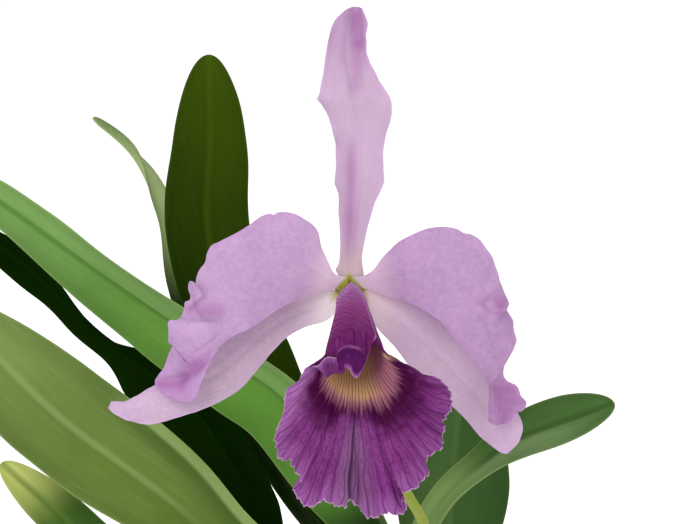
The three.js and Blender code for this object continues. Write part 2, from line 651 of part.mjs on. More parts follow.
function lipSurface(u, v) {
  const [degrees, x, y, z] = lipRim(u);
  const t = Math.min(v / TUBE_SHARE, 1);
  const lap =
    THREE.MathUtils.lerp(...LAP_LIFT, t) *
    (THREE.MathUtils.smoothstep(-degrees, -LAP_LEFT, -LAP_LEFT + LAP_EASE) -
      THREE.MathUtils.smoothstep(degrees, LAP_RIGHT, LAP_RIGHT + LAP_EASE));
  const ring = tubePoint(t, degrees, tubeRadius(t) + lap);
  if (v <= TUBE_SHARE) return ring;
  // beyond the mouth the sheet leaves along the tube and bends out to the rim
  const s = (v - TUBE_SHARE) / (1 - TUBE_SHARE);
  const rim = new THREE.Vector3(x, y, z);
  const outward = rim.clone().sub(ring).normalize();
  const leave = ring.clone().addScaledVector(tubeLine.getTangentAt(1), FLARE_LEAVE * ring.distanceTo(rim));
  const point = ring
    .multiplyScalar((1 - s) * (1 - s))
    .addScaledVector(leave, 2 * s * (1 - s))
    .addScaledVector(rim, s * s);
  // the frill runs round the front lobe's margin only
  const lobe =
    THREE.MathUtils.smoothstep(u, ...FRILL_STARTS) * (1 - THREE.MathUtils.smoothstep(u, ...FRILL_ENDS));
  const strength = lobe * Math.pow(s, FRILL_REACH);
  const wave = 2 * Math.PI * FRILL_WAVES * u;
  point.y += FRILL * strength * Math.sin(wave);
  return point.addScaledVector(outward, FRILL_LOBES * strength * Math.cos(wave));
}

const columnRadius = through([2.3, 2.2, 2.4, 2.7, 3, COLUMN_RADIUS]);
const COLUMN_FOOT = [[0, 2.9, -3.4], [0, 2.3, -3.4], [0, 1.7, -3.4]];
const COLUMN_STOPS = [0.16, 0.36, 0.56, 0.76, 0.84]; // shares of the tube's length
const COLUMN_END = 0.88;
const COLUMN_FLAT = 0.92;
const COLUMN_RINGS = 10;
const COLUMN_SIDES = 10;
const CAP_LENGTH = 3.6;
const CAP_FLAT = 0.9;
const CAP_RINGS = 5;
const CAP_SIDES = 12;
const ROOF_ROOM = 1.6; // the two layers of the roof, and air, over the column
const columnCentre = (t) => tubePoint(t, 180, Math.max(tubeRadius(t) - columnRadius(t) - ROOF_ROOM, 0));

function columnGeometry() {
  // it runs just under the roof of the lip's tube and swells at its tip
  const line = [...COLUMN_FOOT.map(vec), ...COLUMN_STOPS.map(columnCentre), columnCentre(COLUMN_END)];
  const curve = new THREE.CatmullRomCurve3(line, false, "centripetal");
  return rod(curve, COLUMN_RINGS, COLUMN_SIDES, columnRadius, COLUMN_FLAT);
}

function antherCapGeometry() {
  const tip = columnCentre(COLUMN_END);
  const way = tip.clone().sub(columnCentre(COLUMN_STOPS.at(-1))).normalize();
  const start = tip.clone().addScaledVector(way, GAP);
  const radius = through([3.1, 3.3, 3.1, 2.5, 1.2]);
  const line = new THREE.LineCurve3(start, start.clone().addScaledVector(way, CAP_LENGTH));
  return rod(line, CAP_RINGS, CAP_SIDES, radius, CAP_FLAT);
}

// ---------------------------------------------------------------- stalk and sheath

const OVARY_FACE = SEPAL_BASE + TEPAL_THICKNESS / 2 + GAP;
const OVARY_FACE_RADIUS = 5.4;
const OVARY_RADIUS = 2.7;
const OVARY_FACE_ENDS = [0.01, 0.05]; // shares of the stalk's length, from the bloom down
const OVARY_ENDS = [0.1, 0.5];
const OVARY_RIB = 0.06;
const OVARY_RIBS = 3;
const STALK_RADIUS = 1.8;
const STALK_RINGS = 30;
const STALK_SIDES = 8;
const STALK_LOWER = [[12, -42, 258], [18, -43.5, 247], [20.5, -41, 228]];
const SHEATH_HEIGHT = 34;
const SHEATH_AXIS = new THREE.Vector3(0.03, -0.06, 1).normalize();
const SHEATH_FLAT = 0.68;
const SHEATH_RINGS = 8;
const SHEATH_SIDES = 12;

// The ovary leaves the back of the bloom, bends down and runs on as the flower stalk.
function stalkCurve(foot) {
  bloom.updateMatrixWorld(true);
  const behind = [
    [0, OVARY_FACE, -1.6],
    [0, OVARY_FACE + 1, -1.6],
    [0, OVARY_FACE + 2, -1.6],
    [0, 10, -3.6],
    [1, 14.5, -10],
    [4, 17, -23],
    [8, 17, -42],
    [14, 15, -60],
  ];
  const points = [...behind.map((p) => bloom.localToWorld(vec(p))), ...STALK_LOWER.map(vec), foot];
  return new THREE.CatmullRomCurve3(points, false, "centripetal");
}

function stalkGeometry(curve, extra = 0) {
  const girth = (t) =>
    STALK_RADIUS +
    (OVARY_RADIUS - STALK_RADIUS) * (1 - THREE.MathUtils.smoothstep(t, ...OVARY_ENDS)) +
    (OVARY_FACE_RADIUS - OVARY_RADIUS) * (1 - THREE.MathUtils.smoothstep(t, ...OVARY_FACE_ENDS));
  const rib = (t, angle) =>
    1 + OVARY_RIB * (1 - Math.min(t / OVARY_ENDS[1], 1)) * Math.cos(OVARY_RIBS * angle);
  const radius = (t, angle) => girth(t) * rib(t, angle) + extra;
  return rod(curve, STALK_RINGS, STALK_SIDES, radius);
}

function sheathGeometry(foot, curve) {
  const line = new THREE.LineCurve3(foot, foot.clone().addScaledVector(SHEATH_AXIS, SHEATH_HEIGHT));
  const radius = through([2.9, 3.3, 4.2, 4.6, 4.2, 3.4]);
  const body = rod(line, SHEATH_RINGS, SHEATH_SIDES, radius, SHEATH_FLAT);
  return geometryFrom(manifoldOf(body).subtract(manifoldOf(stalkGeometry(curve, GAP))));
}

// ---------------------------------------------------------------- the plant

const TERRACOTTA = 0xb5653c;
const BARK = 0x6b4526;
const RHIZOME_GREEN = 0x7a7a45;
const BULB_GREEN = 0x6f8a3c;
const LEAF_GREEN = 0x4f7a2e;
const STALK_GREEN = 0x93a632;
const PETAL_PINK = 0xcba8d4;
const SEPAL_PINK = 0xcdb4cd;
const LIP_PURPLE = 0x732d7d;
const COLUMN_PURPLE = 0x5a2a60;

piece(plant, "pot", potGeometry(), TERRACOTTA, 0.85);
piece(plant, "bark", barkGeometry(), BARK, 0.95);
piece(plant, "rhizome", geometryFrom(rhizomeSolid(0)), RHIZOME_GREEN, 0.8);

for (const shoot of SHOOTS) {
  piece(plant, "pseudobulb_" + shoot.name, bulbGeometry(shoot), BULB_GREEN, 0.55);
  piece(plant, "leaf_" + shoot.name, leafGeometry(shoot), LEAF_GREEN, 0.45);
}

const flowering = SHOOTS.find((shoot) => shoot.name === FLOWERING);
const stalkFoot = vec(flowering.top).add(new THREE.Vector3(0.4, -FLOWERING_OFFSET, GAP + 0.2));
const stalk = stalkCurve(stalkFoot);
piece(plant, "flower_stalk", stalkGeometry(stalk), STALK_GREEN, 0.5);
piece(plant, "flower_sheath", sheathGeometry(stalkFoot, stalk), BULB_GREEN, 0.6);

piece(bloom, "dorsal_sepal", tepalGeometry(DORSAL_SEPAL, SEPAL_GRID), SEPAL_PINK, 0.55);
piece(bloom, "lateral_sepal_left", tepalGeometry(LATERAL_SEPAL_LEFT, SEPAL_GRID), SEPAL_PINK, 0.55);
piece(bloom, "lateral_sepal_right", tepalGeometry(LATERAL_SEPAL_RIGHT, SEPAL_GRID), SEPAL_PINK, 0.55);
piece(bloom, "petal_left", tepalGeometry(PETAL_LEFT, PETAL_GRID, rippleFrom(0.1)), PETAL_PINK, 0.55);
piece(bloom, "petal_right", tepalGeometry(PETAL_RIGHT, PETAL_GRID, rippleFrom(0.35)), PETAL_PINK, 0.55);
piece(bloom, "column", columnGeometry(), COLUMN_PURPLE, 0.4);
piece(bloom, "anther_cap", antherCapGeometry(), COLUMN_PURPLE, 0.35);
piece(bloom, "lip", sheet(lipSurface, LIP_ROWS, LIP_COLS, LIP_THICKNESS), LIP_PURPLE, 0.5);
plant.add(bloom);

export default plant;
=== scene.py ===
import math

import bpy
import numpy as np
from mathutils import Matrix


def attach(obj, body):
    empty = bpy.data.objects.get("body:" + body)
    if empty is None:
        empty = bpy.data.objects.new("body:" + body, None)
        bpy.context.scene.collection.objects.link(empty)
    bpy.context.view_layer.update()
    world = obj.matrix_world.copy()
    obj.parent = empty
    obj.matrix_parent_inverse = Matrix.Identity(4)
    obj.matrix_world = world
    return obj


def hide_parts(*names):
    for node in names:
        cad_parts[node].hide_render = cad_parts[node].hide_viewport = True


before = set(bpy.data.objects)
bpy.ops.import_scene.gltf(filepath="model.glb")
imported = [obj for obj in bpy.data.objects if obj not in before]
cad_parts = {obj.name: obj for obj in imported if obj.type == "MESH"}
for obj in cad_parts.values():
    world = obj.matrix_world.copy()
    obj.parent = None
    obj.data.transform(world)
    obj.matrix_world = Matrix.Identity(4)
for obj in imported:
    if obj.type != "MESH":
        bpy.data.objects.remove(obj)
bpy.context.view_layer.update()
MM = 0.001

# ---------------------------------------------------------------- driving dimensions

GAP = 0.3

POT_HEIGHT = 115
POT_BASE_RADIUS = 47.5
POT_RIM_RADIUS = 71
POT_RIM_DEPTH = 27
POT_WALL = 6
POT_FLOOR = 7
RIM_BOTTOM = POT_HEIGHT - POT_RIM_DEPTH
WALL_RADIUS = POT_RIM_RADIUS - 7
DRAIN_HOLES = 3
DRAIN_RADIUS = 5
DRAIN_CIRCLE = 27

BARK_TOP = 104
RHIZOME_RADIUS = 4.6
RHIZOME_Z = BARK_TOP + RHIZOME_RADIUS + GAP
KNUCKLE_RADIUS = 5.2
KNUCKLE_TOP = RHIZOME_Z + RHIZOME_RADIUS + 1.2
ROOT_RADIUS = 2.1

BLOOM_CENTRE = np.array([-7.0, -48.0, 330.0])
BLOOM_TILT = math.radians(-6)

LEAF_MIDDLE = 2.0
LEAF_EDGE = 0.9
TEPAL_THICKNESS = 0.9
LIP_THICKNESS = 0.75

# ---------------------------------------------------------------- numbers and curves


def smooth(x, low, high):
    """0 below low, 1 above high, and an even ease between them."""
    t = np.clip((x - low) / (high - low), 0, 1)
    return t * t * (3 - 2 * t)


def hump(x, middle, width):
    return np.exp(-(((x - middle) / width) ** 2))


def unit(v):
    return v / np.maximum(np.linalg.norm(v, axis=-1, keepdims=True), 1e-9)


def through(values):
    """Catmull-Rom through evenly spaced values, read at shares from 0 to 1."""
    values = np.asarray(values, float)
    last = len(values) - 1

    def at(t):
        s = np.clip(np.asarray(t, float), 0, 1) * last
        i = np.minimum(s.astype(int), last - 1)
        f = s - i
        if values.ndim > 1:
            f = f[..., None]
        a, b, c, d = (values[np.clip(i + k, 0, last)] for k in (-1, 0, 1, 2))
        return b + 0.5 * f * (c - a + f * (2 * a - 5 * b + 4 * c - d + f * (3 * (b - c) + d - a)))

    return at


class Line:
    """A centripetal Catmull-Rom curve through points, read by its share of length."""

    STEPS = 60  # between two points

    def __init__(self, points):
        points = np.asarray(points, float)
        ends = [2 * points[0] - points[1], *points, 2 * points[-1] - points[-2]]
        w = np.linspace(0, 1, self.STEPS, endpoint=False)[:, None]
        dense = []
        for p0, p1, p2, p3 in zip(ends, ends[1:], ends[2:], ends[3:]):
            d0, d1, d2 = (max(np.linalg.norm(v), 1e-6) ** 0.5 for v in (p1 - p0, p2 - p1, p3 - p2))
            m1 = d1 * ((p1 - p0) / d0 - (p2 - p0) / (d0 + d1) + (p2 - p1) / d1)
            m2 = d1 * ((p2 - p1) / d1 - (p3 - p1) / (d1 + d2) + (p3 - p2) / d2)
            dense.append(p1 + w * (m1 + w * (3 * (p2 - p1) - 2 * m1 - m2 + w * (2 * (p1 - p2) + m1 + m2))))
        self.points = np.vstack([*dense, points[-1:]])
        steps = np.linalg.norm(np.diff(self.points, axis=0), axis=1)
        self.run = np.concatenate([[0], np.cumsum(steps)])
        self.length = self.run[-1]
        self.tangents = unit(np.gradient(self.points, self.run, axis=0))

    def _read(self, values, t):
        s = np.clip(t, 0, 1) * self.length
        return np.stack([np.interp(s, self.run, values[:, k]) for k in range(3)], axis=-1)

    def at(self, t):
        return self._read(self.points, t)

    def tangent(self, t):
        return unit(self._read(self.tangents, t))


def waver(points, size, seed, waves=7):
    """A smooth unevenness, mostly between -1 and 1, with bumps about size apart."""
    rng = np.random.default_rng(seed)
    total = 0
    for _ in range(waves):
        way = unit(rng.normal(size=3)) * 2 * math.pi / (size * rng.uniform(1.0, 2.4))
        total = total + np.sin(points @ way + rng.uniform(0, 2 * math.pi))
    return total / math.sqrt(waves)


def from_bloom(points):
    """Out of the bloom's own frame, which is tilted back, into the plant's."""
    c, s = math.cos(BLOOM_TILT), math.sin(BLOOM_TILT)
    x, y, z = np.moveaxis(np.asarray(points, float), -1, 0)
    return np.stack([x, c * y - s * z, s * y + c * z], axis=-1) + BLOOM_CENTRE


# ---------------------------------------------------------------- shapes


class Shape:
    """Points in millimetres, lists of faces, and named marks that the finishes read."""

    def __init__(self, points, faces, marks):
        self.points = points
        self.faces = faces
        self.marks = marks


def joined(shapes):
    points, faces, start = [], [], 0
    for shape in shapes:
        points.append(shape.points)
        faces += [block + start for block in shape.faces]
        start += len(shape.points)
    names = shapes[0].marks
    marks = {name: np.concatenate([shape.marks[name] for shape in shapes]) for name in names}
    return Shape(np.concatenate(points), faces, marks)


def grid_faces(rows, cols, closed=False):
    """Quads over a grid of points; closed joins the last column to the first."""
    i, j = np.meshgrid(np.arange(rows - 1), np.arange(cols if closed else cols - 1), indexing="ij")
    k = (j + 1) % cols
    corners = [i * cols + j, (i + 1) * cols + j, (i + 1) * cols + k, i * cols + k]
    return np.stack(corners, axis=-1).reshape(-1, 4)


def blade(middle, above, below, marks, flip=False, relief=None):
    """A closed thin sheet. above and below are its thickness on each side of the middle surface,
    relief moves both faces along the normal, and flip turns the sheet's upper side over."""
    if flip:
        middle, above, below = middle[:, ::-1], above[:, ::-1], below[:, ::-1]
        marks = {name: value[:, ::-1] for name, value in marks.items()}
        relief = relief if relief is None else relief[:, ::-1]
    normal = unit(np.cross(np.gradient(middle, axis=0), np.gradient(middle, axis=1)))
    if relief is not None:
        middle = middle + normal * relief[..., None]
    rows, cols = middle.shape[:2]
    front = (middle + normal * above[..., None]).reshape(-1, 3)
    back = (middle - normal * below[..., None]).reshape(-1, 3)
    far = len(front)
    quads = grid_faces(rows, cols)
    at = np.arange(far).reshape(rows, cols)
    rim = np.concatenate([at[:, 0], at[-1, 1:], at[-2::-1, -1], at[0, -2::-1]])
    edge = np.stack([far + rim[:-1], far + rim[1:], rim[1:], rim[:-1]], axis=-1)
    both = {name: np.concatenate([value.ravel()] * 2) for name, value in marks.items()}
    both["side"] = np.repeat([1.0, -1.0], far)
    return Shape(np.concatenate([front, back]), [quads, far + quads[:, ::-1], edge], both)


def stacked_rings(rings, sides):
    """Faces round a stack of rings, and a fan at each end to one more point."""
    ends = rings * sides
    around = np.arange(sides)
    onward = (around + 1) % sides
    top = ends - sides
    first = np.stack([np.full(sides, ends), onward, around], axis=-1)
    last = np.stack([np.full(sides, ends + 1), top + around, top + onward], axis=-1)
    return [grid_faces(rings, sides, closed=True)[:, ::-1], first, last]


def rod(line, rings, sides, radius, flat=1.0, hint=(1, 0, 0), spacing=None):
    """A closed rod along a curve. radius(t, angle) may draw ribs, flat squeezes it one way."""
    t = np.linspace(0, 1, rings) if spacing is None else spacing
    angle = np.arange(sides) * 2 * math.pi / sides
    centre, tangent = line.at(t), line.tangent(t)
    side = unit(np.asarray(hint, float) - (tangent @ np.asarray(hint, float))[:, None] * tangent)
    up = np.cross(tangent, side)
    tt, aa = np.meshgrid(t, angle, indexing="ij")
    r = (radius(tt, aa) * np.ones_like(tt))[..., None]
    points = (
        centre[:, None]
        + side[:, None] * r * np.cos(aa)[..., None]
        + up[:, None] * flat * r * np.sin(aa)[..., None]
    )
    marks = {
        "along": np.concatenate([tt.ravel(), [0, 1]]),
        "around": np.concatenate([aa.ravel() / (2 * math.pi), [0, 0]]),
    }
    every = np.concatenate([points.reshape(-1, 3), centre[[0, -1]]])
    return Shape(every, stacked_rings(len(t), sides), marks)


def lathe(profile, sides, uneven=None):
    """A closed turned form; the profile runs from the axis underneath to the axis on top."""
    r, z = np.asarray(profile, float)[1:-1].T
    angle = np.arange(sides) * 2 * math.pi / sides
    rr = r[:, None] * np.ones(sides)
    zz = z[:, None] * np.ones(sides)
    if uneven is not None:
        rr, zz = uneven(rr, zz, angle)
    ring = np.stack([rr * np.cos(angle), rr * np.sin(angle), zz], axis=-1)
    tips = np.array([[0, 0, profile[0][1]], [0, 0, profile[-1][1]]], float)
    points = np.concatenate([ring.reshape(-1, 3), tips])
    marks = {"height": points[:, 2].copy()}
    return Shape(points, stacked_rings(len(r), sides), marks)


def filleted(corners, radius, steps=5):
    """The corners of an outline, each rounded by about radius."""
    corners = np.asarray(corners, float)
    rounded = [corners[:1]]
    w = np.linspace(0, 1, steps)[:, None]
    for before, here, after in zip(corners, corners[1:], corners[2:]):
        inward, outward = before - here, after - here
        reach = min(radius, *(0.45 * np.linalg.norm(v) for v in (inward, outward)))
        a, b = here + unit(inward) * reach, here + unit(outward) * reach
        rounded.append((1 - w) ** 2 * a + 2 * w * (1 - w) * here + w**2 * b)
    return np.concatenate([*rounded, corners[-1:]])


def filled_in(outline, step):
    """The outline with points added so that none are further apart than step."""
    dense = [outline[:1]]
    for a, b in zip(outline, outline[1:]):
        count = max(int(math.ceil(np.linalg.norm(b - a) / step)), 1)
        dense.append(a + (b - a) * (np.arange(1, count + 1) / count)[:, None])
    return np.concatenate(dense)


def mesh_object(name, shape):
    mesh = bpy.data.meshes.new(name)
    mesh.from_pydata(shape.points * MM, [], [face for block in shape.faces for face in block.tolist()])
    made = bpy.data.objects.new(name, mesh)
    bpy.context.scene.collection.objects.link(made)
    return made


def place(name, shape, finish, slot, *nodes, sharp=None):
    """Makes a shape into a piece of the plant that stands for the named solids."""
    piece = mesh_object(name, shape)
    mesh = piece.data
    for mark, value in shape.marks.items():
        attribute = mesh.attributes.new(mark, "FLOAT", "POINT")
        attribute.data.foreach_set("value", np.asarray(value, np.float32))
    mesh.polygons.foreach_set("use_smooth", [True] * len(mesh.polygons))
    if sharp is not None:
        mesh.set_sharp_from_angle(angle=math.radians(sharp))
    mesh.materials.append(finish)
    mesh.update()
    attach(piece, "root")
    if nodes:
        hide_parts(*nodes)
    return piece


# ---------------------------------------------------------------- shader tools


def srgb(red, green, blue):
    """A colour given as 0 to 255 on a screen, for a shader's socket."""
    shares = [c / 255 for c in (red, green, blue)]
    return (*(c / 12.92 if c <= 0.04045 else ((c + 0.055) / 1.055) ** 2.4 for c in shares), 1.0)


class Paint:
    """Adds shader nodes to a tree and joins them up."""

    def __init__(self, tree):
        self.tree = tree
        self.read = {}

    def node(self, kind, sockets=None, **settings):
        node = self.tree.nodes.new(kind)
        for key, value in settings.items():
            setattr(node, key, value)
        for key, value in (sockets or {}).items():
            self.feed(node.inputs[key], value)
        return node

    def feed(self, socket, value):
        if isinstance(value, bpy.types.NodeSocket):
            self.tree.links.new(value, socket)
        else:
            socket.default_value = value

    def mark(self, name):
        """A value that the mesh carries at each point."""
        if name not in self.read:
            self.read[name] = self.node("ShaderNodeAttribute", attribute_name=name).outputs["Fac"]
        return self.read[name]

    def place(self):
        """Where a point of the plant is, in millimetres."""
        if "place" not in self.read:
            spot = self.node("ShaderNodeTexCoord").outputs["Object"]
            scaled = self.node("ShaderNodeVectorMath", {0: spot, 3: 1 / MM}, operation="SCALE")
            self.read["place"] = scaled.outputs["Vector"]
        return self.read["place"]

    def math(self, operation, *values):
        return self.node("ShaderNodeMath", dict(enumerate(values)), operation=operation).outputs[0]

    def add(self, a, b):
        return self.math("ADD", a, b)

    def times(self, a, b):
        return self.math("MULTIPLY", a, b)

    def ease(self, value, low, high, start=0.0, end=1.0):
        """start below low, end above high, eased between them."""
        sockets = {"Value": value, "From Min": low, "From Max": high, "To Min": start, "To Max": end}
        return self.node("ShaderNodeMapRange", sockets, interpolation_type="SMOOTHSTEP").outputs["Result"]

    def mix(self, factor, a, b, blend="MIX"):
        node = self.node("ShaderNodeMix", {0: factor, 6: a, 7: b}, data_type="RGBA", blend_type=blend)
        return node.outputs[2]

    def ramp(self, factor, *stops):
        """A colour for each value: stops are (place, colour)."""
        node = self.node("ShaderNodeValToRGB", {"Fac": factor})
        elements = node.color_ramp.elements
        while len(elements) < len(stops):
            elements.new(1.0)
        for element, (place_on_ramp, colour) in zip(elements, stops):
            element.position = place_on_ramp
            element.color = colour
        return node.outputs["Color"]

    def spot(self, x, y, z=0.0):
        return self.node("ShaderNodeCombineXYZ", {0: x, 1: y, 2: z}).outputs[0]

    def noise(self, vector, size, detail=2.0, roughness=0.5):
        """Noise from 0 to 1 with features about size millimetres across."""
        sockets = {"Vector": vector, "Scale": 1 / size, "Detail": detail, "Roughness": roughness}
        return self.node("ShaderNodeTexNoise", sockets).outputs["Fac"]

    def group(self, tree, **sockets):
        """Places a shared effect with its sockets fed."""
        node = self.node("ShaderNodeGroup", sockets, node_tree=tree)
        return node.outputs[0]

    def clouds(self, size, contrast):
        """Mottling where the surface is, with features about size millimetres across."""
        return self.group(MOTTLE, Place=self.place(), Size=size, Contrast=contrast)

    def cells(self, size):
        """The height of plump cells about size millimetres across."""
        return self.group(CELLS, Place=self.place(), Size=size)

    def veins(self, across, along, count, width, wander, seed=0.0):
        """count lines side by side for each unit across, wandering as they run along."""
        return self.group(
            VEINS, Across=across, Along=along, Count=count, Width=width, Wander=wander, Seed=seed
        )


def effect(name, inputs, output, kind="NodeSocketFloat"):
    """An empty shared effect with named sockets, and the means to fill it."""
    tree = bpy.data.node_groups.new(name, "ShaderNodeTree")
    for socket, (socket_kind, default) in inputs.items():
        made = tree.interface.new_socket(socket, in_out="INPUT", socket_type=socket_kind)
        if default is not None:
            made.default_value = default
    tree.interface.new_socket(output, in_out="OUTPUT", socket_type=kind)
    paint = Paint(tree)
    given = paint.node("NodeGroupInput").outputs
    result = paint.node("NodeGroupOutput").inputs[output]
    return tree, paint, given, result


NUMBER = "NodeSocketFloat"
VECTOR = "NodeSocketVector"


def vein_lines():
    """Lines that run along a blade and wander a little; 1 on a line and 0 between them."""
    inputs = {
        "Across": (NUMBER, 0.0),
        "Along": (NUMBER, 0.0),
        "Count": (NUMBER, 10.0),
        "Width": (NUMBER, 0.3),
        "Wander": (NUMBER, 0.5),
        "Seed": (NUMBER, 0.0),
    }
    tree, p, given, result = effect("vein lines", inputs, "Mask")
    lanes = p.times(given["Across"], given["Count"])
    spot = p.spot(p.times(lanes, 0.35), given["Along"], given["Seed"])
    shift = p.times(p.add(p.noise(spot, 1.0, 1.0), -0.5), given["Wander"])
    share = p.math("FRACT", p.add(lanes, p.times(shift, 2.0)))
    ridge = p.math("ABSOLUTE", p.math("MULTIPLY_ADD", share, 2.0, -1.0))
    start = p.math("SUBTRACT", 1.0, given["Width"])
    p.feed(result, p.ease(ridge, start, 1.0))
    return tree


def mottling():
    """Soft cloudy patches from 0 to 1, with features about Size millimetres across."""
    inputs = {"Place": (VECTOR, None), "Size": (NUMBER, 8.0), "Contrast": (NUMBER, 1.0)}
    tree, p, given, result = effect("mottling", inputs, "Mask")
    scale = p.math("DIVIDE", 1.0, given["Size"])
    sockets = {"Vector": given["Place"], "Scale": scale, "Detail": 3.0, "Roughness": 0.55}
    cloud = p.node("ShaderNodeTexNoise", sockets).outputs["Fac"]
    spread = p.math("MULTIPLY_ADD", p.add(cloud, -0.5), p.times(given["Contrast"], 2.2), 0.5)
    p.feed(result, p.math("MINIMUM", p.math("MAXIMUM", spread, 0.0), 1.0))
    return tree


def cell_relief():
    """The height of a surface made of small plump cells, about Size millimetres across."""
    inputs = {"Place": (VECTOR, None), "Size": (NUMBER, 0.4)}
    tree, p, given, result = effect("cell relief", inputs, "Height")
    scale = p.math("DIVIDE", 1.0, given["Size"])
    cells = p.node("ShaderNodeTexVoronoi", {"Vector": given["Place"], "Scale": scale})
    dome = p.math("SUBTRACT", 1.0, p.math("POWER", cells.outputs["Distance"], 2.0))
    sockets = {"Vector": given["Place"], "Scale": p.times(scale, 0.2), "Detail": 2.0}
    swell = p.node("ShaderNodeTexNoise", sockets).outputs["Fac"]
    p.feed(result, p.add(p.times(dome, 0.4), p.times(swell, 1.6)))
    return tree


def flecks():
    """Sparse small round spots: 1 inside a spot."""
    inputs = {"Place": (VECTOR, None), "Size": (NUMBER, 5.0), "Share": (NUMBER, 0.12)}
    tree, p, given, result = effect("flecks", inputs, "Mask")
    scale = p.math("DIVIDE", 1.0, given["Size"])
    sockets = {"Vector": given["Place"], "Scale": scale, "Randomness": 1.0}
    distance = p.node("ShaderNodeTexVoronoi", sockets).outputs["Distance"]
    outer = given["Share"]
    p.feed(result, p.ease(distance, p.times(outer, 0.5), outer, 1.0, 0.0))
    return tree


# The olive band's peak at x and z, its fall for each millimetre sideways, how far from its middle it
# is full and gone, and how far from the peak it begins to fade and is gone.
CHEVRON_TOP = (-7.2, 331.2)
CHEVRON_FALL = 1.05
CHEVRON_BAND = (0.8, 2.9)
CHEVRON_REACH = (3.5, 7.5)


def chevron():
    """The olive band that runs over the foot of the bloom as a roof runs over a gable: the tepals' own
    yellow-green, and painted shade of the gap round the lip's foot.
    """
    tree, p, given, result = effect("olive chevron", {"Place": (VECTOR, None)}, "Mask")
    x, _, z = p.node("ShaderNodeSeparateXYZ", {0: given["Place"]}).outputs
    beside = p.math("ABSOLUTE", p.add(x, -CHEVRON_TOP[0]))
    above = p.math("MULTIPLY_ADD", beside, CHEVRON_FALL, p.add(z, -CHEVRON_TOP[1]))
    band = p.ease(p.math("ABSOLUTE", above), *CHEVRON_BAND, 1.0, 0.0)
    p.feed(result, p.times(band, p.ease(beside, *CHEVRON_REACH, 1.0, 0.0)))
    return tree


VEINS = vein_lines()
MOTTLE = mottling()
CELLS = cell_relief()
FLECKS = flecks()
CHEVRON = chevron()


def finish_of(name, **sockets):
    """A material with its Principled shader set to the given fixed values."""
    made = bpy.data.materials.new(name)
    made.use_nodes = True
    shader = made.node_tree.nodes["Principled BSDF"]
    for key, value in sockets.items():
        shader.inputs[key.replace("_", " ")].default_value = value
    return made, Paint(made.node_tree), shader


def dress(paint, shader, colour, roughness=None, height=None, depth=0.1):
    """Joins the colour, the roughness and a relief of some depth in millimetres to the shader."""
    paint.feed(shader.inputs["Base Color"], colour)
    if roughness is not None:
        paint.feed(shader.inputs["Roughness"], roughness)
    if height is not None:
        sockets = {"Height": height, "Distance": depth * MM, "Strength": 1.0}
        paint.feed(shader.inputs["Normal"], paint.node("ShaderNodeBump", sockets).outputs["Normal"])


# ---------------------------------------------------------------- pot

TERRACOTTA = srgb(196, 112, 74)
TERRACOTTA_PALE = srgb(214, 152, 118)
TERRACOTTA_DAMP = srgb(150, 78, 52)
LIME = srgb(224, 212, 196)
THROWN_PITCH = 3.7
THROWN_DEPTH = 0.16


def clay_finish():
    made, p, shader = finish_of("fired clay", Roughness=0.85, Specular_IOR_Level=0.25)
    tone = p.clouds(22.0, 0.9)
    colour = p.mix(tone, TERRACOTTA, TERRACOTTA_PALE)
    low = p.ease(p.mark("height"), 4.0, 46.0, 1.0, 0.0)
    damp = p.times(low, p.clouds(12.0, 1.2))
    colour = p.mix(p.times(damp, 0.8), colour, TERRACOTTA_DAMP)
    salts = p.clouds(9.0, 1.6)
    band = p.ease(p.mark("height"), 60.0, 92.0)
    bloom_mask = p.times(p.ease(salts, 0.62, 0.95), p.math("MULTIPLY_ADD", band, 0.55, 0.12))
    colour = p.mix(bloom_mask, colour, LIME)
    grit = p.noise(p.place(), 0.5, 4.0, 0.7)
    colour = p.mix(p.ease(grit, 0.35, 0.65), p.mix(0.1, colour, TERRACOTTA_DAMP), colour)
    rough = p.math("MULTIPLY_ADD", salts, 0.12, 0.78)
    dress(p, shader, colour, rough, grit, 0.12)
    return made


def inner_radius(z):
    return POT_BASE_RADIUS + (WALL_RADIUS - POT_BASE_RADIUS) * z / RIM_BOTTOM - POT_WALL


def clay_pot():
    outside = [
        [0, 0],
        [POT_BASE_RADIUS, 0],
        [WALL_RADIUS, RIM_BOTTOM],
        [POT_RIM_RADIUS - 1.2, RIM_BOTTOM + 0.5],
        [POT_RIM_RADIUS, POT_HEIGHT],
        [inner_radius(POT_HEIGHT), POT_HEIGHT],
        [inner_radius(POT_FLOOR), POT_FLOOR],
        [0, POT_FLOOR],
    ]
    profile = filled_in(filleted(outside, 2.4), 2.2)

    def thrown(r, z, angle):
        rings = THROWN_DEPTH * np.sin(2 * math.pi * z / THROWN_PITCH + 0.4 * np.sin(2 * angle))
        round_ = np.stack([r * np.cos(angle), r * np.sin(angle), z], axis=-1)
        uneven = THROWN_DEPTH * waver(round_, 30, 3)
        inside = smooth(r, 10, 30) * smooth(z, 0.5, 4)
        return r + (rings + uneven - 0.3) * inside, z

    pot = place("clay_pot", lathe(profile, 144, thrown), clay_finish(), "terracotta", "pot")
    bore_drain_holes(pot)


def bore_drain_holes(pot):
    cutters = []
    for i in range(DRAIN_HOLES):
        angle = 2 * math.pi * (i + 0.25) / DRAIN_HOLES
        x, y = DRAIN_CIRCLE * math.cos(angle), DRAIN_CIRCLE * math.sin(angle)
        axis = Line([[x, y, -POT_FLOOR], [x, y, 0], [x, y, 2 * POT_FLOOR]])
        cutters.append(rod(axis, 2, 32, lambda t, angle: DRAIN_RADIUS))
    drill = mesh_object("drill", joined(cutters))
    cut = pot.modifiers.new("drain holes", "BOOLEAN")
    cut.object = drill
    cut.operation = "DIFFERENCE"
    cut.solver = "EXACT"
    graph = bpy.context.evaluated_depsgraph_get()
    bored = bpy.data.meshes.new_from_object(pot.evaluated_get(graph), depsgraph=graph)
    pot.modifiers.clear()
    pot.data = bored
    bored.set_sharp_from_angle(angle=math.radians(40))
    bpy.data.objects.remove(drill)


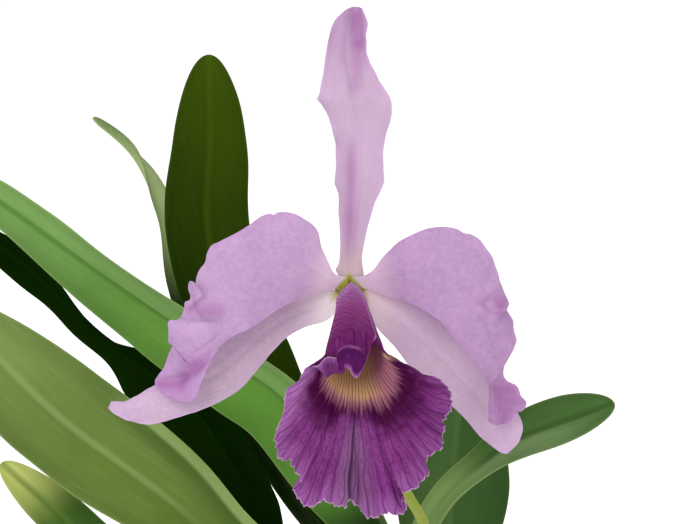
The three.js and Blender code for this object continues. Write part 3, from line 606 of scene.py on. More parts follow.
# ---------------------------------------------------------------- bark

BARK_DARK = srgb(58, 36, 24)
BARK_MID = srgb(112, 72, 44)
BARK_PALE = srgb(168, 122, 82)
CHIP_DULL = srgb(150, 150, 150)
CHIP_BRIGHT = srgb(255, 250, 240)
CHIPS = 330
CHIP_LENGTH = (9, 21)
CHIP_TURN = 2.39996  # from one chip to the next round the pot, which spreads them evenly
CHIP_SINK = 2.4  # how far below the bark's top the chips' centres lie, more or less
BED_TOP = BARK_TOP - 4


def bark_finish():
    made, p, shader = finish_of("fir bark", Roughness=0.9, Specular_IOR_Level=0.2)
    grain_place = p.spot(p.times(p.mark("grain_x"), 0.35), p.mark("grain_y"), p.mark("grain_z"))
    grain = p.noise(grain_place, 1.6, 5.0, 0.65)
    layers = p.noise(p.spot(0.0, 0.0, p.times(p.mark("grain_z"), 2.4)), 1.0, 2.0)
    tone = p.add(p.times(grain, 0.6), p.times(layers, 0.4))
    colour = p.ramp(tone, (0.3, BARK_DARK), (0.5, BARK_MID), (0.72, BARK_PALE))
    shade = p.mix(p.mark("shade"), CHIP_DULL, CHIP_BRIGHT)
    colour = p.mix(1.0, colour, shade, "MULTIPLY")
    dress(p, shader, colour, None, grain, 0.8)
    return made


def chip(rng, size, nx=6, ny=4, nz=2):
    """One lump of bark: a worn, layered block with ragged ends."""
    faces, points = [], []
    start = 0
    for axis, (a, b) in ((0, (ny, nz)), (1, (nx, nz)), (2, (nx, ny))):
        for end in (-1.0, 1.0):
            g, h = np.meshgrid(np.linspace(-1, 1, a + 1), np.linspace(-1, 1, b + 1), indexing="ij")
            side = np.full_like(g, end)
            order = {0: (side, g, h), 1: (g, side, h), 2: (g, h, side)}[axis]
            points.append(np.stack(order, axis=-1).reshape(-1, 3))
            quads = grid_faces(a + 1, b + 1)
            outward = (end > 0) != (axis == 1)
            faces.append((quads if outward else quads[:, ::-1]) + start)
            start += (a + 1) * (b + 1)
    cube = np.concatenate(points)
    _, keep, same = np.unique(np.round(cube, 4), axis=0, return_index=True, return_inverse=True)
    same = same.ravel()
    cube = cube[keep]
    faces = [same[block] for block in faces]
    worn = cube * (1.12 - 0.1 * (cube**2).sum(axis=1, keepdims=True))
    worn[:, 2] *= 1 - 0.25 * cube[:, 0] * rng.uniform(-1, 1)
    worn[:, 1] *= 1 - 0.35 * cube[:, 0] ** 2 * rng.uniform(0.2, 1)
    ragged = np.stack([waver(cube, 1.1, int(rng.integers(1e6)), 5) for _ in range(3)], axis=-1)
    worn += ragged * [0.08, 0.12, 0.16]
    return worn * size / 2, faces, cube * size / 2


def bark():
    rng = np.random.default_rng(23)
    chips = []
    for i in range(CHIPS):
        length = rng.uniform(*CHIP_LENGTH)
        size = length * np.array([1, rng.uniform(0.5, 0.8), rng.uniform(0.24, 0.4)])
        points, faces, grain = chip(rng, size)
        tilt, roll, turn = rng.normal(0, 0.22), rng.normal(0, 0.22), rng.uniform(0, 2 * math.pi)
        turned = points @ turning(roll, tilt, turn).T
        reach = np.linalg.norm(turned[:, :2], axis=1).max()
        limit = inner_radius(BARK_TOP) - reach - 0.6
        spread = limit * math.sqrt((i + 0.5) / CHIPS)
        angle = i * CHIP_TURN
        lift = BARK_TOP - CHIP_SINK + rng.uniform(-1.2, 2.6)
        spot = np.array([spread * math.cos(angle), spread * math.sin(angle), lift])
        marks = {
            "grain_x": grain[:, 0] + 31 * i,
            "grain_y": grain[:, 1],
            "grain_z": grain[:, 2] + 0.7 * i,
            "shade": np.full(len(points), rng.uniform()),
        }
        chips.append(Shape(turned + spot, faces, marks))
    bed = lathe(
        [
            [0, POT_FLOOR + GAP],
            [inner_radius(POT_FLOOR) - 3.5, POT_FLOOR + GAP],
            [inner_radius(POT_FLOOR + 3) - GAP, POT_FLOOR + 3],
            [inner_radius(BARK_TOP) - 0.5, BED_TOP],
            [inner_radius(BARK_TOP) - 12, BED_TOP],
            [0, BED_TOP],
        ],
        64,
    )
    x, y, z = bed.points.T
    bed.marks = {"grain_x": x, "grain_y": y, "grain_z": z, "shade": np.zeros(len(x))}
    place("bark_chips", joined([bed, *chips]), bark_finish(), "bark", "bark", sharp=50)


def turning(x, y, z):
    """A turn about X, then Y, then Z, as a matrix."""
    cx, cy, cz = math.cos(x), math.cos(y), math.cos(z)
    sx, sy, sz = math.sin(x), math.sin(y), math.sin(z)
    about_x = np.array([[1, 0, 0], [0, cx, -sx], [0, sx, cx]])
    about_y = np.array([[cy, 0, sy], [0, 1, 0], [-sy, 0, cy]])
    about_z = np.array([[cz, -sz, 0], [sz, cz, 0], [0, 0, 1]])
    return about_z @ about_y @ about_x


# ---------------------------------------------------------------- shoots

STRAP = [0.34, 0.5, 0.72, 0.9, 0.98, 1, 1, 1]
OVAL = [0.34, 0.5, 0.72, 0.93, 1.03, 1, 0.92, 0.86]
TAPERED = [0.34, 0.6, 0.95, 1.1, 1, 0.8, 0.66, 0.62]
WAISTED = [0.34, 0.6, 0.95, 1.1, 0.98, 0.72, 0.56, 0.66]
PETIOLED = [0.4, 0.42, 0.43, 0.45, 0.56, 0.82, 1, 1]
ROUND_FROM = 0.7
TIP_CROWDING = 1.6  # above 1, the rows of a leaf stand closer together towards its tip

# Each leaf's colours: the blade's upper half, its lower half, its midrib, its far end and its near
# end. On upright, twisted, upper_left and far_left the near end's colour is dark painted shade round
# the leaves' feet. "fades" is how far along it the near colour is full and where it ends, then where
# the far one starts and is full. "band" is how plainly a pale band runs along the near part's upper
# margin.
SHOOTS = {
    "upright": {
        "foot": [-6, 28], "top": [-5, 33, 205], "half": 17.2, "outline": STRAP, "fold": 0.16,
        "path": [
            [-21, 41, 240], [-43, 54, 282], [-58, 61, 310], [-65, 66, 340], [-64, 69, 373],
            [-64, 69, 409],
        ],
        "face": [[0.2, -1, 0.2], [0.1, -1, 0.1], [0, -1, 0]],
        "greens": [(46, 66, 3), (36, 56, 2), (70, 92, 12), (66, 88, 10), (26, 46, 1)],
        "fades": (0.2, 0.45, 0.45, 1.1), "gloss": 0.02, "band": 0.0,
    },
    "twisted": {
        "foot": [-25, 39], "top": [-19, 44, 205], "half": 11.5, "outline": STRAP, "fold": 0.2,
        "path": [
            [-28, 54, 228], [-43, 64, 251], [-68, 77, 294], [-80, 86, 322], [-87, 91, 343],
            [-99, 96, 368], [-117, 98, 383],
        ],
        "face": [[0.2, -1, 0.2], [0.3, -1, 0.2], [0.6, -1, 0.4], [1, -0.3, 0.7], [0.5, 0.5, 1]],
        "greens": [(186, 204, 142), (168, 190, 120), (186, 204, 142), (116, 140, 88), (20, 42, 4)],
        "fades": (0.55, 0.72, 0.8, 1.0), "gloss": 0.03, "band": 0.0,
    },
    "upper_left": {
        "foot": [9, 7], "top": [8, 3, 205], "half": 18.5, "outline": WAISTED, "fold": 0.42,
        "path": [
            [6, -3, 226], [-10, 1, 248], [-31, 5, 280], [-51, 6, 295], [-92, 4, 323], [-132, -5, 354],
            [-151, -13, 367],
        ],
        "face": [[-0.3, -1, 0.1], [-0.4, -0.8, -0.4], [-0.35, -0.85, -0.35], [0.1, -0.9, 0.2]],
        "greens": [(136, 178, 98), (106, 160, 60), (60, 112, 28), (132, 172, 98), (24, 54, 8)],
        "fades": (0.13, 0.25, 0.45, 1.0), "gloss": 0.12, "band": 0.2,
    },
    "far_left": {
        "foot": [-32, 13], "top": [-35, 13, 205], "half": 16.5, "outline": TAPERED, "fold": 0.2,
        "path": [
            [-42, 21, 233], [-54, 27, 252], [-68, 28, 273], [-87, 28, 289],
            [-105, 29, 302], [-122, 27, 321], [-138, 23, 335], [-156, 18, 347],
        ],
        "face": [
            [0, -1, 0.2], [-0.1, -1, 0], [-0.25, -0.9, -0.2], [-0.3, -0.85, -0.3],
            [-0.35, -0.8, -0.35], [-0.42, -0.8, -0.4], [-0.6, -0.45, -0.63],
            [-0.57, -0.52, -0.58], [-0.46, -0.68, -0.47], [-0.38, -0.8, -0.38], [-0.3, -0.8, -0.3],
        ],
        # far_left's greens are near-black painted shade, for the shadow of the leaves round it.
        "greens": [(6, 26, 1), (12, 32, 2), (16, 42, 4), (8, 28, 2), (8, 27, 1)],
        "fades": (0.15, 0.3, 0.45, 1.0), "gloss": 0.0, "band": 0.0,
    },
    "lower_left": {
        "foot": [-13, -12], "top": [-16, -17, 203], "half": 19.5, "outline": OVAL, "fold": 0.32,
        "path": [[-28, -18, 218], [-51, -23, 233], [-71, -26, 251], [-109, -34, 284], [-142, -45, 324]],
        "face": [[0.1, -1, 0.3], [0.3, -0.9, 0.4], [0.1, -1, 0.2]],
        "greens": [(106, 134, 56), (110, 136, 58), (150, 170, 104), (124, 148, 78), (88, 116, 42)],
        "fades": (0.25, 0.5, 0.45, 1.0), "gloss": 0.12, "band": 0.75,
    },
    "low": {
        "foot": [-36, -19], "top": [-37, -17, 196], "half": 9, "outline": STRAP, "fold": 0.25,
        "path": [[-57, -15, 204], [-80, -13, 214], [-100, -10, 229], [-116, -7, 243], [-134, -6, 259]],
        "face": [[0, -1, 0.4], [0, -0.9, 0.6], [0, -0.9, 0.6]],
        "greens": [(62, 98, 30), (78, 116, 44), (96, 126, 54), (226, 232, 132), (56, 92, 30)],
        "fades": (0.15, 0.3, 0.74, 0.97), "gloss": 0.12, "band": 0.0,
    },
    "right": {
        "foot": [28, -27], "top": [19, -34, 203], "half": 11.2, "outline": PETIOLED, "fold": 0.32,
        "path": [
            [18, -22, 233], [26, -14, 248], [41, -10, 260], [54, -8, 268], [69, -8, 274],
            [88, -11, 282],
        ],
        "face": [[-0.1, -1, 0.1], [-0.4, -0.9, 0.5], [-0.3, -0.8, 0.5]],
        "greens": [(136, 172, 108), (84, 122, 58), (46, 80, 26), (68, 108, 46), (140, 172, 100)],
        "fades": (0.4, 0.62, 0.75, 1.0), "gloss": 0.12, "band": 0.0,
    },
    "rear_right": {
        "foot": [34, 14], "top": [32, 13, 190], "half": 20.5, "outline": TAPERED, "fold": 0.18,
        "path": [[31, 18, 208], [32, 29, 228], [35, 46, 250], [39, 66, 273], [42, 84, 290]],
        "face": [[0, -1, 0.4], [0, -0.9, 0.6], [0, -0.8, 0.8]],
        "greens": [(72, 106, 54), (80, 114, 60), (92, 124, 66), (74, 108, 56), (74, 108, 56)],
        "fades": (0.1, 0.2, 0.45, 1.0), "gloss": 0.05, "band": 0.0,
    },
}
FLOWERING = "right"
FLOWERING_OFFSET = 2.9

BULB_TOP_RADIUS = 4.8
BULB_FOOT_RADIUS = 5
bulb_radius = through([BULB_FOOT_RADIUS, 5.2, 6.6, 8.6, 9.8, 9.4, 7.4, BULB_TOP_RADIUS])
BULB_FURROW = 0.05
BULB_FLAT = 0.86
WRAP_REACH = 2.9  # how far a dry wrap turns round its bulb to each side, in radians
LEAF_SHADE = srgb(20, 44, 6)
LEAF_PATCH = srgb(22, 50, 8)
LEAF_FLECK = srgb(92, 74, 36)
LEAF_RIM = srgb(200, 214, 144)
LEAF_FOOT = srgb(150, 168, 84)
BAND_DARK = srgb(52, 80, 18)
BAND_PALE = srgb(158, 184, 112)
BULB_GREEN = srgb(98, 128, 52)
BULB_PALE = srgb(132, 156, 78)
BULB_RIB = srgb(78, 104, 44)
BULB_NECK = srgb(168, 176, 96)
BULB_JOINT = srgb(170, 150, 96)
BULB_BLUSH = srgb(122, 72, 78)
DRY_PALE = srgb(206, 192, 158)
DRY_DARK = srgb(158, 134, 98)
DRY_TIP = srgb(122, 94, 62)

LEAF_SEAT = GAP + 0.2
LEAF_CLASP = 0.7
FLOWERING_CLASP = 0.25


def bulb_line(shoot):
    foot = np.array([*shoot["foot"], KNUCKLE_TOP], float)
    top = np.array(shoot["top"], float)
    axis = unit(top - foot)
    foot[2] += GAP + BULB_FOOT_RADIUS * math.sqrt(1 - axis[2] ** 2)
    return Line([foot, (foot + top) / 2, top]), axis


def spread_columns(cols, crowd=0.55):
    """Shares from 0 to 1 that stand closer together at both ends."""
    w = np.linspace(0, 1, cols)
    return (1 - crowd) * w + crowd * (1 - np.cos(math.pi * w)) / 2


def leaf_blade(name, shoot, rows=120, cols=31):
    foot = np.array([*shoot["foot"], KNUCKLE_TOP], float)
    axis = unit(np.array(shoot["top"], float) - foot)
    start = np.array(shoot["top"], float) + axis * LEAF_SEAT
    flowers = name == FLOWERING
    if flowers:
        start[1] += FLOWERING_OFFSET
    midrib = Line([start, start + 8 * axis, *shoot["path"]])
    along = 1 - (1 - np.linspace(0, 1, rows)) ** TIP_CROWDING
    tangent = midrib.tangent(along)
    across = unit(np.cross(tangent, through(shoot["face"])(along)))
    up = np.cross(across, tangent)
    round_ = np.maximum(along - ROUND_FROM, 0) / (1 - ROUND_FROM)
    half = shoot["half"] * through(shoot["outline"])(along) * np.sqrt(np.maximum(1 - round_**2, 0.0016))
    clasp = FLOWERING_CLASP if flowers else LEAF_CLASP
    fold = shoot["fold"] + clasp * (1 - np.minimum(along / 0.15, 1))
    s = 2 * spread_columns(cols) - 1
    reach = (half[:, None] * s)[..., None]
    rise = np.abs(s) ** 1.3 * (half * np.sin(fold))[:, None]
    middle = (
        midrib.at(along)[:, None]
        + across[:, None] * reach * np.cos(fold)[:, None, None]
        + up[:, None] * rise[..., None]
    )
    ss, tt = np.meshgrid(s, along)
    width = half[:, None] * np.ones(cols)
    seed = list(SHOOTS).index(name)
    sway = 0.45 * waver(middle, 46, seed) * smooth(tt, 0.08, 0.3)
    sway += 0.5 * waver(middle, 17, seed + 40) * np.abs(ss) ** 4 * smooth(tt, 0.15, 0.4)
    channel = hump(ss * width, 0, 1.3) * smooth(tt, 0.02, 0.12) * (1 - smooth(tt, 0.9, 0.99))
    lens = np.sqrt(np.maximum(1 - np.abs(ss) ** 10, 0.02)) * np.sqrt(np.clip((1 - tt) / 0.02, 0.1, 1))
    thick = (LEAF_MIDDLE + (LEAF_EDGE - LEAF_MIDDLE) * np.abs(ss)) * lens / 2
    length = midrib.length
    marks = {
        "across": ss,
        "along": tt,
        "across_mm": ss * width,
        "along_mm": tt * length,
        "margin": np.minimum((1 - np.abs(ss)) * width, (1 - tt) * length),
    }
    return blade(middle, thick - 0.55 * channel, thick + 0.6 * channel, marks, flip=True, relief=-sway)


def leaf_finish(name, shoot):
    upper, lower, rib, far, near_or_foot_shade = (srgb(*green) for green in shoot["greens"])
    near_full, near_ends, far_starts, far_full = shoot["fades"]
    gloss = shoot["gloss"]
    made, p, shader = finish_of(
        f"leaf {name}", Specular_IOR_Level=gloss,
        Subsurface_Weight=0.04, Subsurface_Scale=0.002, Subsurface_Radius=(0.4, 1.0, 0.2),
    )
    seed = float(list(SHOOTS).index(name))
    across, along = p.mark("across"), p.mark("along")
    colour = p.mix(p.ease(across, -0.12, 0.12), lower, upper)
    colour = p.mix(p.ease(along, far_starts, far_full, 0.0, 0.9), colour, far)
    # The near colour; on upright, twisted, upper_left and far_left it is painted shade at the foot.
    colour = p.mix(p.ease(along, near_full, near_ends, 1.0, 0.0), colour, near_or_foot_shade)
    edges = p.ease(p.math("ABSOLUTE", across), 0.35, 1.0, 0.0, 0.35)
    colour = p.mix(edges, colour, p.mix(0.6, colour, LEAF_SHADE))
    patches = p.clouds(26.0, 0.9)
    colour = p.mix(p.times(patches, 0.4), colour, p.mix(0.5, colour, LEAF_PATCH))
    stretched = p.spot(p.mark("across_mm"), p.times(p.mark("along_mm"), 0.1), seed)
    streaks = p.noise(stretched, 2.4, 3.0, 0.6)
    rib = p.mix(p.ease(along, near_full, near_ends, 0.8, 0.0), rib, near_or_foot_shade)
    colour = p.mix(p.ease(streaks, 0.42, 0.75, 0.0, 0.16), colour, rib)
    parallel = p.veins(
        p.mark("across_mm"), p.times(p.mark("along_mm"), 0.03),
        count=0.85, width=0.24, wander=0.5, seed=seed,
    )
    colour = p.mix(p.times(parallel, 0.08), colour, rib)
    distance = p.math("ABSOLUTE", p.mark("across_mm"))
    shown = p.ease(along, near_full, near_ends, 0.15, 0.55)
    colour = p.mix(p.times(p.ease(distance, 0.3, 2.2, 1.0, 0.0), shown), colour, rib)
    margin = p.mark("margin")
    banded = p.times(p.ease(along, 0.55, 0.65, shoot["band"], 0.0), p.ease(across, 0.1, 0.3))
    inside = p.times(p.ease(margin, 2.8, 4.4), p.ease(margin, 5.0, 12.0, 0.55, 0.0))
    colour = p.mix(p.times(banded, inside), colour, BAND_DARK)
    colour = p.mix(p.times(banded, p.ease(margin, 2.8, 4.4, 0.8, 0.0)), colour, BAND_PALE)
    pale = p.mix(2 * gloss, colour, LEAF_RIM)
    colour = p.mix(p.ease(margin, 0.1, 0.8, 0.6, 0.0), colour, pale)
    colour = p.mix(p.ease(along, 0.0, 0.1, min(4 * gloss, 0.45), 0.0), colour, LEAF_FOOT)
    colour = p.mix(p.ease(p.mark("side"), -0.5, 0.5, 0.4, 0.0), colour, pale)
    spots = p.group(FLECKS, Place=p.place(), Size=9.0, Share=0.05)
    colour = p.mix(p.times(spots, 0.3), colour, p.mix(0.3, colour, LEAF_FLECK))
    grain = p.cells(0.7)
    height = p.add(p.times(grain, 0.35), p.times(parallel, 0.5))
    rough = p.math("MULTIPLY_ADD", patches, 0.12, 0.42)
    dress(p, shader, colour, rough, height, 0.05)
    return made


def bulb_finish():
    made, p, shader = finish_of("green bulb", Roughness=0.45, Specular_IOR_Level=0.4)
    along = p.mark("along")
    patches = p.clouds(9.0, 1.1)
    colour = p.mix(patches, BULB_GREEN, BULB_PALE)
    ribs = p.veins(p.mark("around"), p.times(along, 3.0), count=34.0, width=0.4, wander=0.8)
    colour = p.mix(p.times(ribs, 0.25), colour, BULB_RIB)
    colour = p.mix(p.ease(along, 0.86, 1.0, 0.0, 0.6), colour, BULB_NECK)
    rings = p.math("ABSOLUTE", p.add(p.math("FRACT", p.times(along, 3.0)), -0.5))
    colour = p.mix(p.ease(rings, 0.44, 0.49, 0.0, 0.6), colour, BULB_JOINT)
    colour = p.mix(p.ease(patches, 0.66, 0.9, 0.0, 0.25), colour, BULB_BLUSH)
    dress(p, shader, colour, None, p.add(ribs, patches), 0.12)
    return made


def papery_finish(name, pale, dark, fibres):
    made, p, shader = finish_of(name, Roughness=0.7, Specular_IOR_Level=0.3)
    along = p.mark("along")
    lines = p.veins(p.mark("across"), p.times(along, 2.0), count=fibres, width=0.45, wander=0.6)
    patches = p.clouds(6.0, 1.4)
    colour = p.mix(patches, pale, dark)
    colour = p.mix(p.times(lines, 0.4), colour, dark)
    colour = p.mix(p.ease(along, 0.8, 1.0, 0.0, 0.5), colour, DRY_TIP)
    dress(p, shader, colour, None, lines, 0.12)
    return made


def pseudobulb(name, shoot, finish, wrap_finish):
    line, _ = bulb_line(shoot)
    seed = list(SHOOTS).index(name)

    def radius(t, angle):
        wander = angle + 0.12 * np.sin(5 * t + seed)
        furrow = 0.06 * (1 - np.abs(np.sin(2.5 * wander))) ** 3
        fine = 0.008 * np.cos(17 * wander + 2 * np.sin(4 * t))
        joints = sum(hump(t, place_up, 0.012) for place_up in (1 / 3, 2 / 3))
        swell = BULB_FURROW * np.sin(math.pi * t) * np.cos(5 * angle)
        ease_in = np.sin(math.pi * np.clip(t, 0, 1)) ** 0.5
        return bulb_radius(t) * (1 + swell - (furrow - fine) * ease_in + 0.03 * joints)

    bulb = rod(line, 73, 60, radius, BULB_FLAT)
    place(f"bulb_{name}", bulb, finish, "pseudobulb", f"pseudobulb_{name}")
    place(f"wrap_{name}", dry_wraps(line, radius, seed), wrap_finish, "sheath")


def dry_wraps(line, radius, seed):
    """Two papery sheets round the foot of a bulb, the upper one outside the lower."""
    rng = np.random.default_rng(seed + 60)
    inner = (0.01, rng.uniform(0.3, 0.42), 0.4, 0)
    outer = (0.2, rng.uniform(0.5, 0.66), 2.9, 0.5)
    wraps = []
    for low, high, start_angle, lift in (inner, outer):
        aa, hh = np.meshgrid(np.linspace(-WRAP_REACH, WRAP_REACH, 61), np.linspace(0, 1, 26))
        ragged = 0.5 * (1 - (aa / WRAP_REACH) ** 2) + 0.06 * np.sin(7 * aa + seed) + 0.04 * np.sin(19 * aa)
        t = low + (high - low) * hh * (0.62 + 0.5 * ragged)
        turn = aa + start_angle + seed
        loose = 0.45 + 1.1 * hh**3 + 0.25 * np.sin(9 * aa + 3 * hh) * hh + lift
        around_bulb = radius(t, turn) + loose
        centre, tangent = line.at(t), line.tangent(t)
        hint = np.array([1.0, 0, 0])
        side = unit(hint - (tangent @ hint)[..., None] * tangent)
        up = np.cross(tangent, side)
        middle = centre + side * (around_bulb * np.cos(turn))[..., None]
        middle = middle + up * (BULB_FLAT * around_bulb * np.sin(turn) + 0.3 * np.sin(turn))[..., None]
        thin = 0.14 * np.ones_like(aa)
        marks = {"across": aa / (2 * WRAP_REACH) + 0.5, "along": hh}
        wraps.append(blade(middle, thin, thin, marks))
    return joined(wraps)


def shoots():
    bulb_green = bulb_finish()
    dry = papery_finish("dry wrap", DRY_PALE, DRY_DARK, 60.0)
    for name, shoot in SHOOTS.items():
        pseudobulb(name, shoot, bulb_green, dry)
        finish = leaf_finish(name, shoot)
        place(f"blade_{name}", leaf_blade(name, shoot), finish, "leaf", f"leaf_{name}")


# ---------------------------------------------------------------- rhizome and roots

STEM_GREEN = srgb(112, 116, 62)
STEM_TAN = srgb(150, 132, 88)
SCALE_BROWN = srgb(104, 76, 48)
ROOT_PALE = srgb(206, 204, 184)
ROOT_DULL = srgb(170, 164, 132)
ROOT_TIP = srgb(120, 156, 60)

STEM_SCALES = 9.0
SIDE_ROOTS = 16
SIDE_STEP = 8.5
SIDE_FALL = 1.1
SIDE_RADIUS = (1.2, 1.8)
ROOT_DIVE = 6  # how far below the bark's top and inside the pot's wall a side root ends
HUB = [-4, 4]
LEADS = [
    ["upright", "twisted"], ["upper_left", "rear_right"], ["lower_left", "low"], ["far_left"], ["right"],
]
ROOTS = [
    [[6, -14, RHIZOME_Z], [4, -27, RHIZOME_Z + 1], [-8, -40, RHIZOME_Z - 2], [-20, -48, BARK_TOP - 8]],
    [[24, -20, RHIZOME_Z], [40, -20, RHIZOME_Z + 2], [48, -8, RHIZOME_Z - 2], [50, 8, BARK_TOP - 9]],
    [[-30, -16, RHIZOME_Z], [-42, -22, RHIZOME_Z + 1], [-46, -30, BARK_TOP - 8]],
    [[-20, 32, RHIZOME_Z], [-12, 46, RHIZOME_Z + 1], [4, 53, RHIZOME_Z - 2], [18, 52, BARK_TOP - 9]],
    [[30, 12, RHIZOME_Z], [44, 22, RHIZOME_Z + 1], [41, 36, BARK_TOP - 8]],
]


def rhizome_finish():
    made, p, shader = finish_of("creeping stem", Roughness=0.75, Specular_IOR_Level=0.3)
    patches = p.clouds(5.0, 1.3)
    colour = p.mix(patches, STEM_GREEN, STEM_TAN)
    scales = p.math("FRACT", p.times(p.mark("along"), STEM_SCALES))
    colour = p.mix(p.ease(scales, 0.75, 1.0, 0.0, 0.7), colour, SCALE_BROWN)
    dress(p, shader, colour, None, patches, 0.3)
    return made


def root_finish():
    made, p, shader = finish_of("spongy root", Roughness=0.85, Specular_IOR_Level=0.2)
    patches = p.clouds(3.5, 1.2)
    colour = p.mix(patches, ROOT_PALE, ROOT_DULL)
    colour = p.mix(p.ease(p.mark("along"), 0.86, 0.97), colour, ROOT_TIP)
    dress(p, shader, colour, None, p.noise(p.place(), 0.5, 3.0), 0.12)
    return made


def rhizome():
    stems = []
    for lead in LEADS:
        stops = [HUB, *(SHOOTS[name]["foot"] for name in lead)]
        line = Line([[x, y, RHIZOME_Z] for x, y in stops])

        def radius(t, angle):
            scale = (t * STEM_SCALES) % 1
            return RHIZOME_RADIUS * (0.94 + 0.1 * scale**3 + 0.03 * np.sin(6 * angle + 9 * t))

        stems.append(rod(line, int(line.length * 1.2), 28, radius))
    profile = through([0.7, 0.98, 1.04, 1.0, 0.97, 0.9])

    def knuckle(t, angle):
        return KNUCKLE_RADIUS * profile(t) * (1 + 0.03 * np.cos(5 * angle))

    for shoot in SHOOTS.values():
        x, y = shoot["foot"]
        line = Line([[x, y, RHIZOME_Z - 1], [x, y, RHIZOME_Z + 3], [x, y, KNUCKLE_TOP]])
        stems.append(rod(line, 14, 36, knuckle))
    place("creeping_stem", joined(stems), rhizome_finish(), "rhizome", "rhizome")


def side_route(rng, x, y):
    """A short root's way over the bark, from a shoot's foot to where it dives in."""
    limit = inner_radius(BARK_TOP) - ROOT_DIVE
    heading = math.atan2(y, x) + rng.uniform(-0.9, 0.9)
    route = [[x, y, RHIZOME_Z]]
    for step in range(1, 5):
        heading += rng.uniform(-0.5, 0.5)
        x += SIDE_STEP * math.cos(heading)
        y += SIDE_STEP * math.sin(heading)
        if math.hypot(x, y) > limit:
            x, y = (c * limit / math.hypot(x, y) for c in (x, y))
            heading += 0.9
        route.append([x, y, RHIZOME_Z - 1 - SIDE_FALL * step + rng.uniform(-0.6, 0.6)])
    route[-1][2] = BARK_TOP - ROOT_DIVE
    return route


def roots():
    rng = np.random.default_rng(9)
    routes = [(route, ROOT_RADIUS) for route in ROOTS]
    feet = [shoot["foot"] for shoot in SHOOTS.values()]
    for i in range(SIDE_ROOTS):
        route = side_route(rng, *feet[i % len(feet)])
        routes.append((route, rng.uniform(*SIDE_RADIUS)))
    threads = []
    for i, (route, thick) in enumerate(routes):
        line = Line(route)

        def radius(t, angle):
            tip = np.sqrt(np.clip((1 - t) / 0.05, 0.02, 1))
            uneven = 1 + 0.06 * np.sin(11 * t + i) + 0.02 * np.sin(3 * angle)
            return thick * (1 - 0.3 * t * t) * tip * uneven

        threads.append(rod(line, int(line.length) + 12, 18, radius, hint=(0, 0, 1)))
    place("roots", joined(threads), root_finish(), "rhizome", "rhizome")


# ---------------------------------------------------------------- sepals and petals

SEPAL_BASE = 2.55
PETAL_BASE = 1.3

DORSAL_SEPAL = [
    [-3.6, -0.5, 3.6, -0.5, SEPAL_BASE, 0],
    [-4.4, 3.2, 4.2, 3.2, SEPAL_BASE, 0],
    [-3.5, 9, 4.0, 9, 3.2, 0.5],
    [-3.1, 17, 5.2, 17, 4.6, 1.2],
    [-3.8, 28, 8.8, 28, 6, 1.8],
    [-4.8, 36, 11.1, 36, 7, 2.2],
    [-4.7, 46, 11.2, 46, 8, 2.6],
    [-6.8, 54, 13, 54, 8.6, 2.8],
    [-10.8, 60.6, 13.9, 60, 9, 3],
    [-9.7, 66, 11.6, 66, 9, 3],
    [-8.6, 72, 8, 72, 9, 2.8],
    [-7.8, 78, 5.6, 78, 9, 2.6],
    [-6.5, 84, 5.1, 84, 8.6, 2.2],
    [-4.2, 88.2, 5.1, 88.4, 8, 1.4],
    [-0.9, 91.2, 3.4, 92, 7.2, 0.5],
]
LATERAL_SEPAL_LEFT = [
    [-1.9, -6.2, -4.8, -2.4, SEPAL_BASE, 0],
    [-4.6, -9.8, -7.4, -2.2, 3.2, -0.2],
    [-8.5, -12.9, -12, -2.6, 4.2, -0.5],
    [-15, -14.9, -18, -4.6, 5.6, -0.8],
    [-21.5, -18.6, -25, -7.6, 6.6, -1],
    [-27, -24.3, -32, -11.6, 7.2, -1],
    [-32, -30.4, -39, -16.2, 7.2, -0.6],
    [-37.5, -36.2, -46, -21, 6.4, 0],
    [-45.6, -40.7, -53, -25.8, 4.6, 0.6],
    [-54, -43.6, -60, -30.4, 2, 1.2],
    [-63, -45.8, -66, -34.6, -1, 1.6],
    [-70.5, -45.4, -71.5, -38, -4, 1.2],
    [-76, -42.9, -75.4, -38.4, -6, 0.6],
    [-78.7, -40.6, -77.6, -38.4, -7, 0.2],
]
LATERAL_SEPAL_RIGHT = [
    [1.9, -6.2, 4.8, -2.4, SEPAL_BASE, 0],
    [5.6, -10.5, 9, -2.2, 3.2, -0.2],
    [10.3, -16.6, 16, -4.6, 4.4, -0.5],
    [14.8, -21.3, 24, -8.6, 5.8, -0.8],
    [20, -28, 32, -14, 7, -0.8],
    [26, -34, 39, -20.5, 7.4, -0.6],
    [32, -39.3, 45, -27.5, 7.2, 0],
    [38, -45, 50, -34.5, 6.2, 0.6],
    [42.8, -50.7, 54.5, -41, 4.8, 1],
    [46.6, -54, 57.4, -47, 3.4, 1],
    [49.6, -55.9, 56.4, -51.4, 2.2, 0.6],
    [52, -56.6, 54.2, -54.6, 1.4, 0.2],
]
PETAL_LEFT = [
    [-0.6, -0.9, -0.6, 2.0, PETAL_BASE, 0],
    [-3.1, -2, -3.1, 1.8, PETAL_BASE, 0],
    [-7.2, -2.4, -5.4, 5, 0, 0],
    [-14.2, -3.3, -9.5, 12.2, -2.4, 0],
    [-20, -6.4, -15.6, 21, -5, 0.6],
    [-25, -9.5, -27.5, 22.8, -7, 0.4],
    [-29, -12.4, -35.4, 17.4, -8, 0.2],
    [-33, -14.7, -44, 12.3, -8.6, 0],
    [-37.5, -17.6, -49, 3, -8.6, -0.5],
    [-41.8, -22.6, -53, -5, -8.2, -1],
    [-46.5, -27.5, -58.3, -13, -7.6, -1],
    [-49.5, -32.2, -60.5, -25, -6.8, -0.6],
    [-50.8, -36.6, -62.8, -33, -6, 0],
    [-52.6, -39.4, -58.5, -38.2, -5, 0],
]
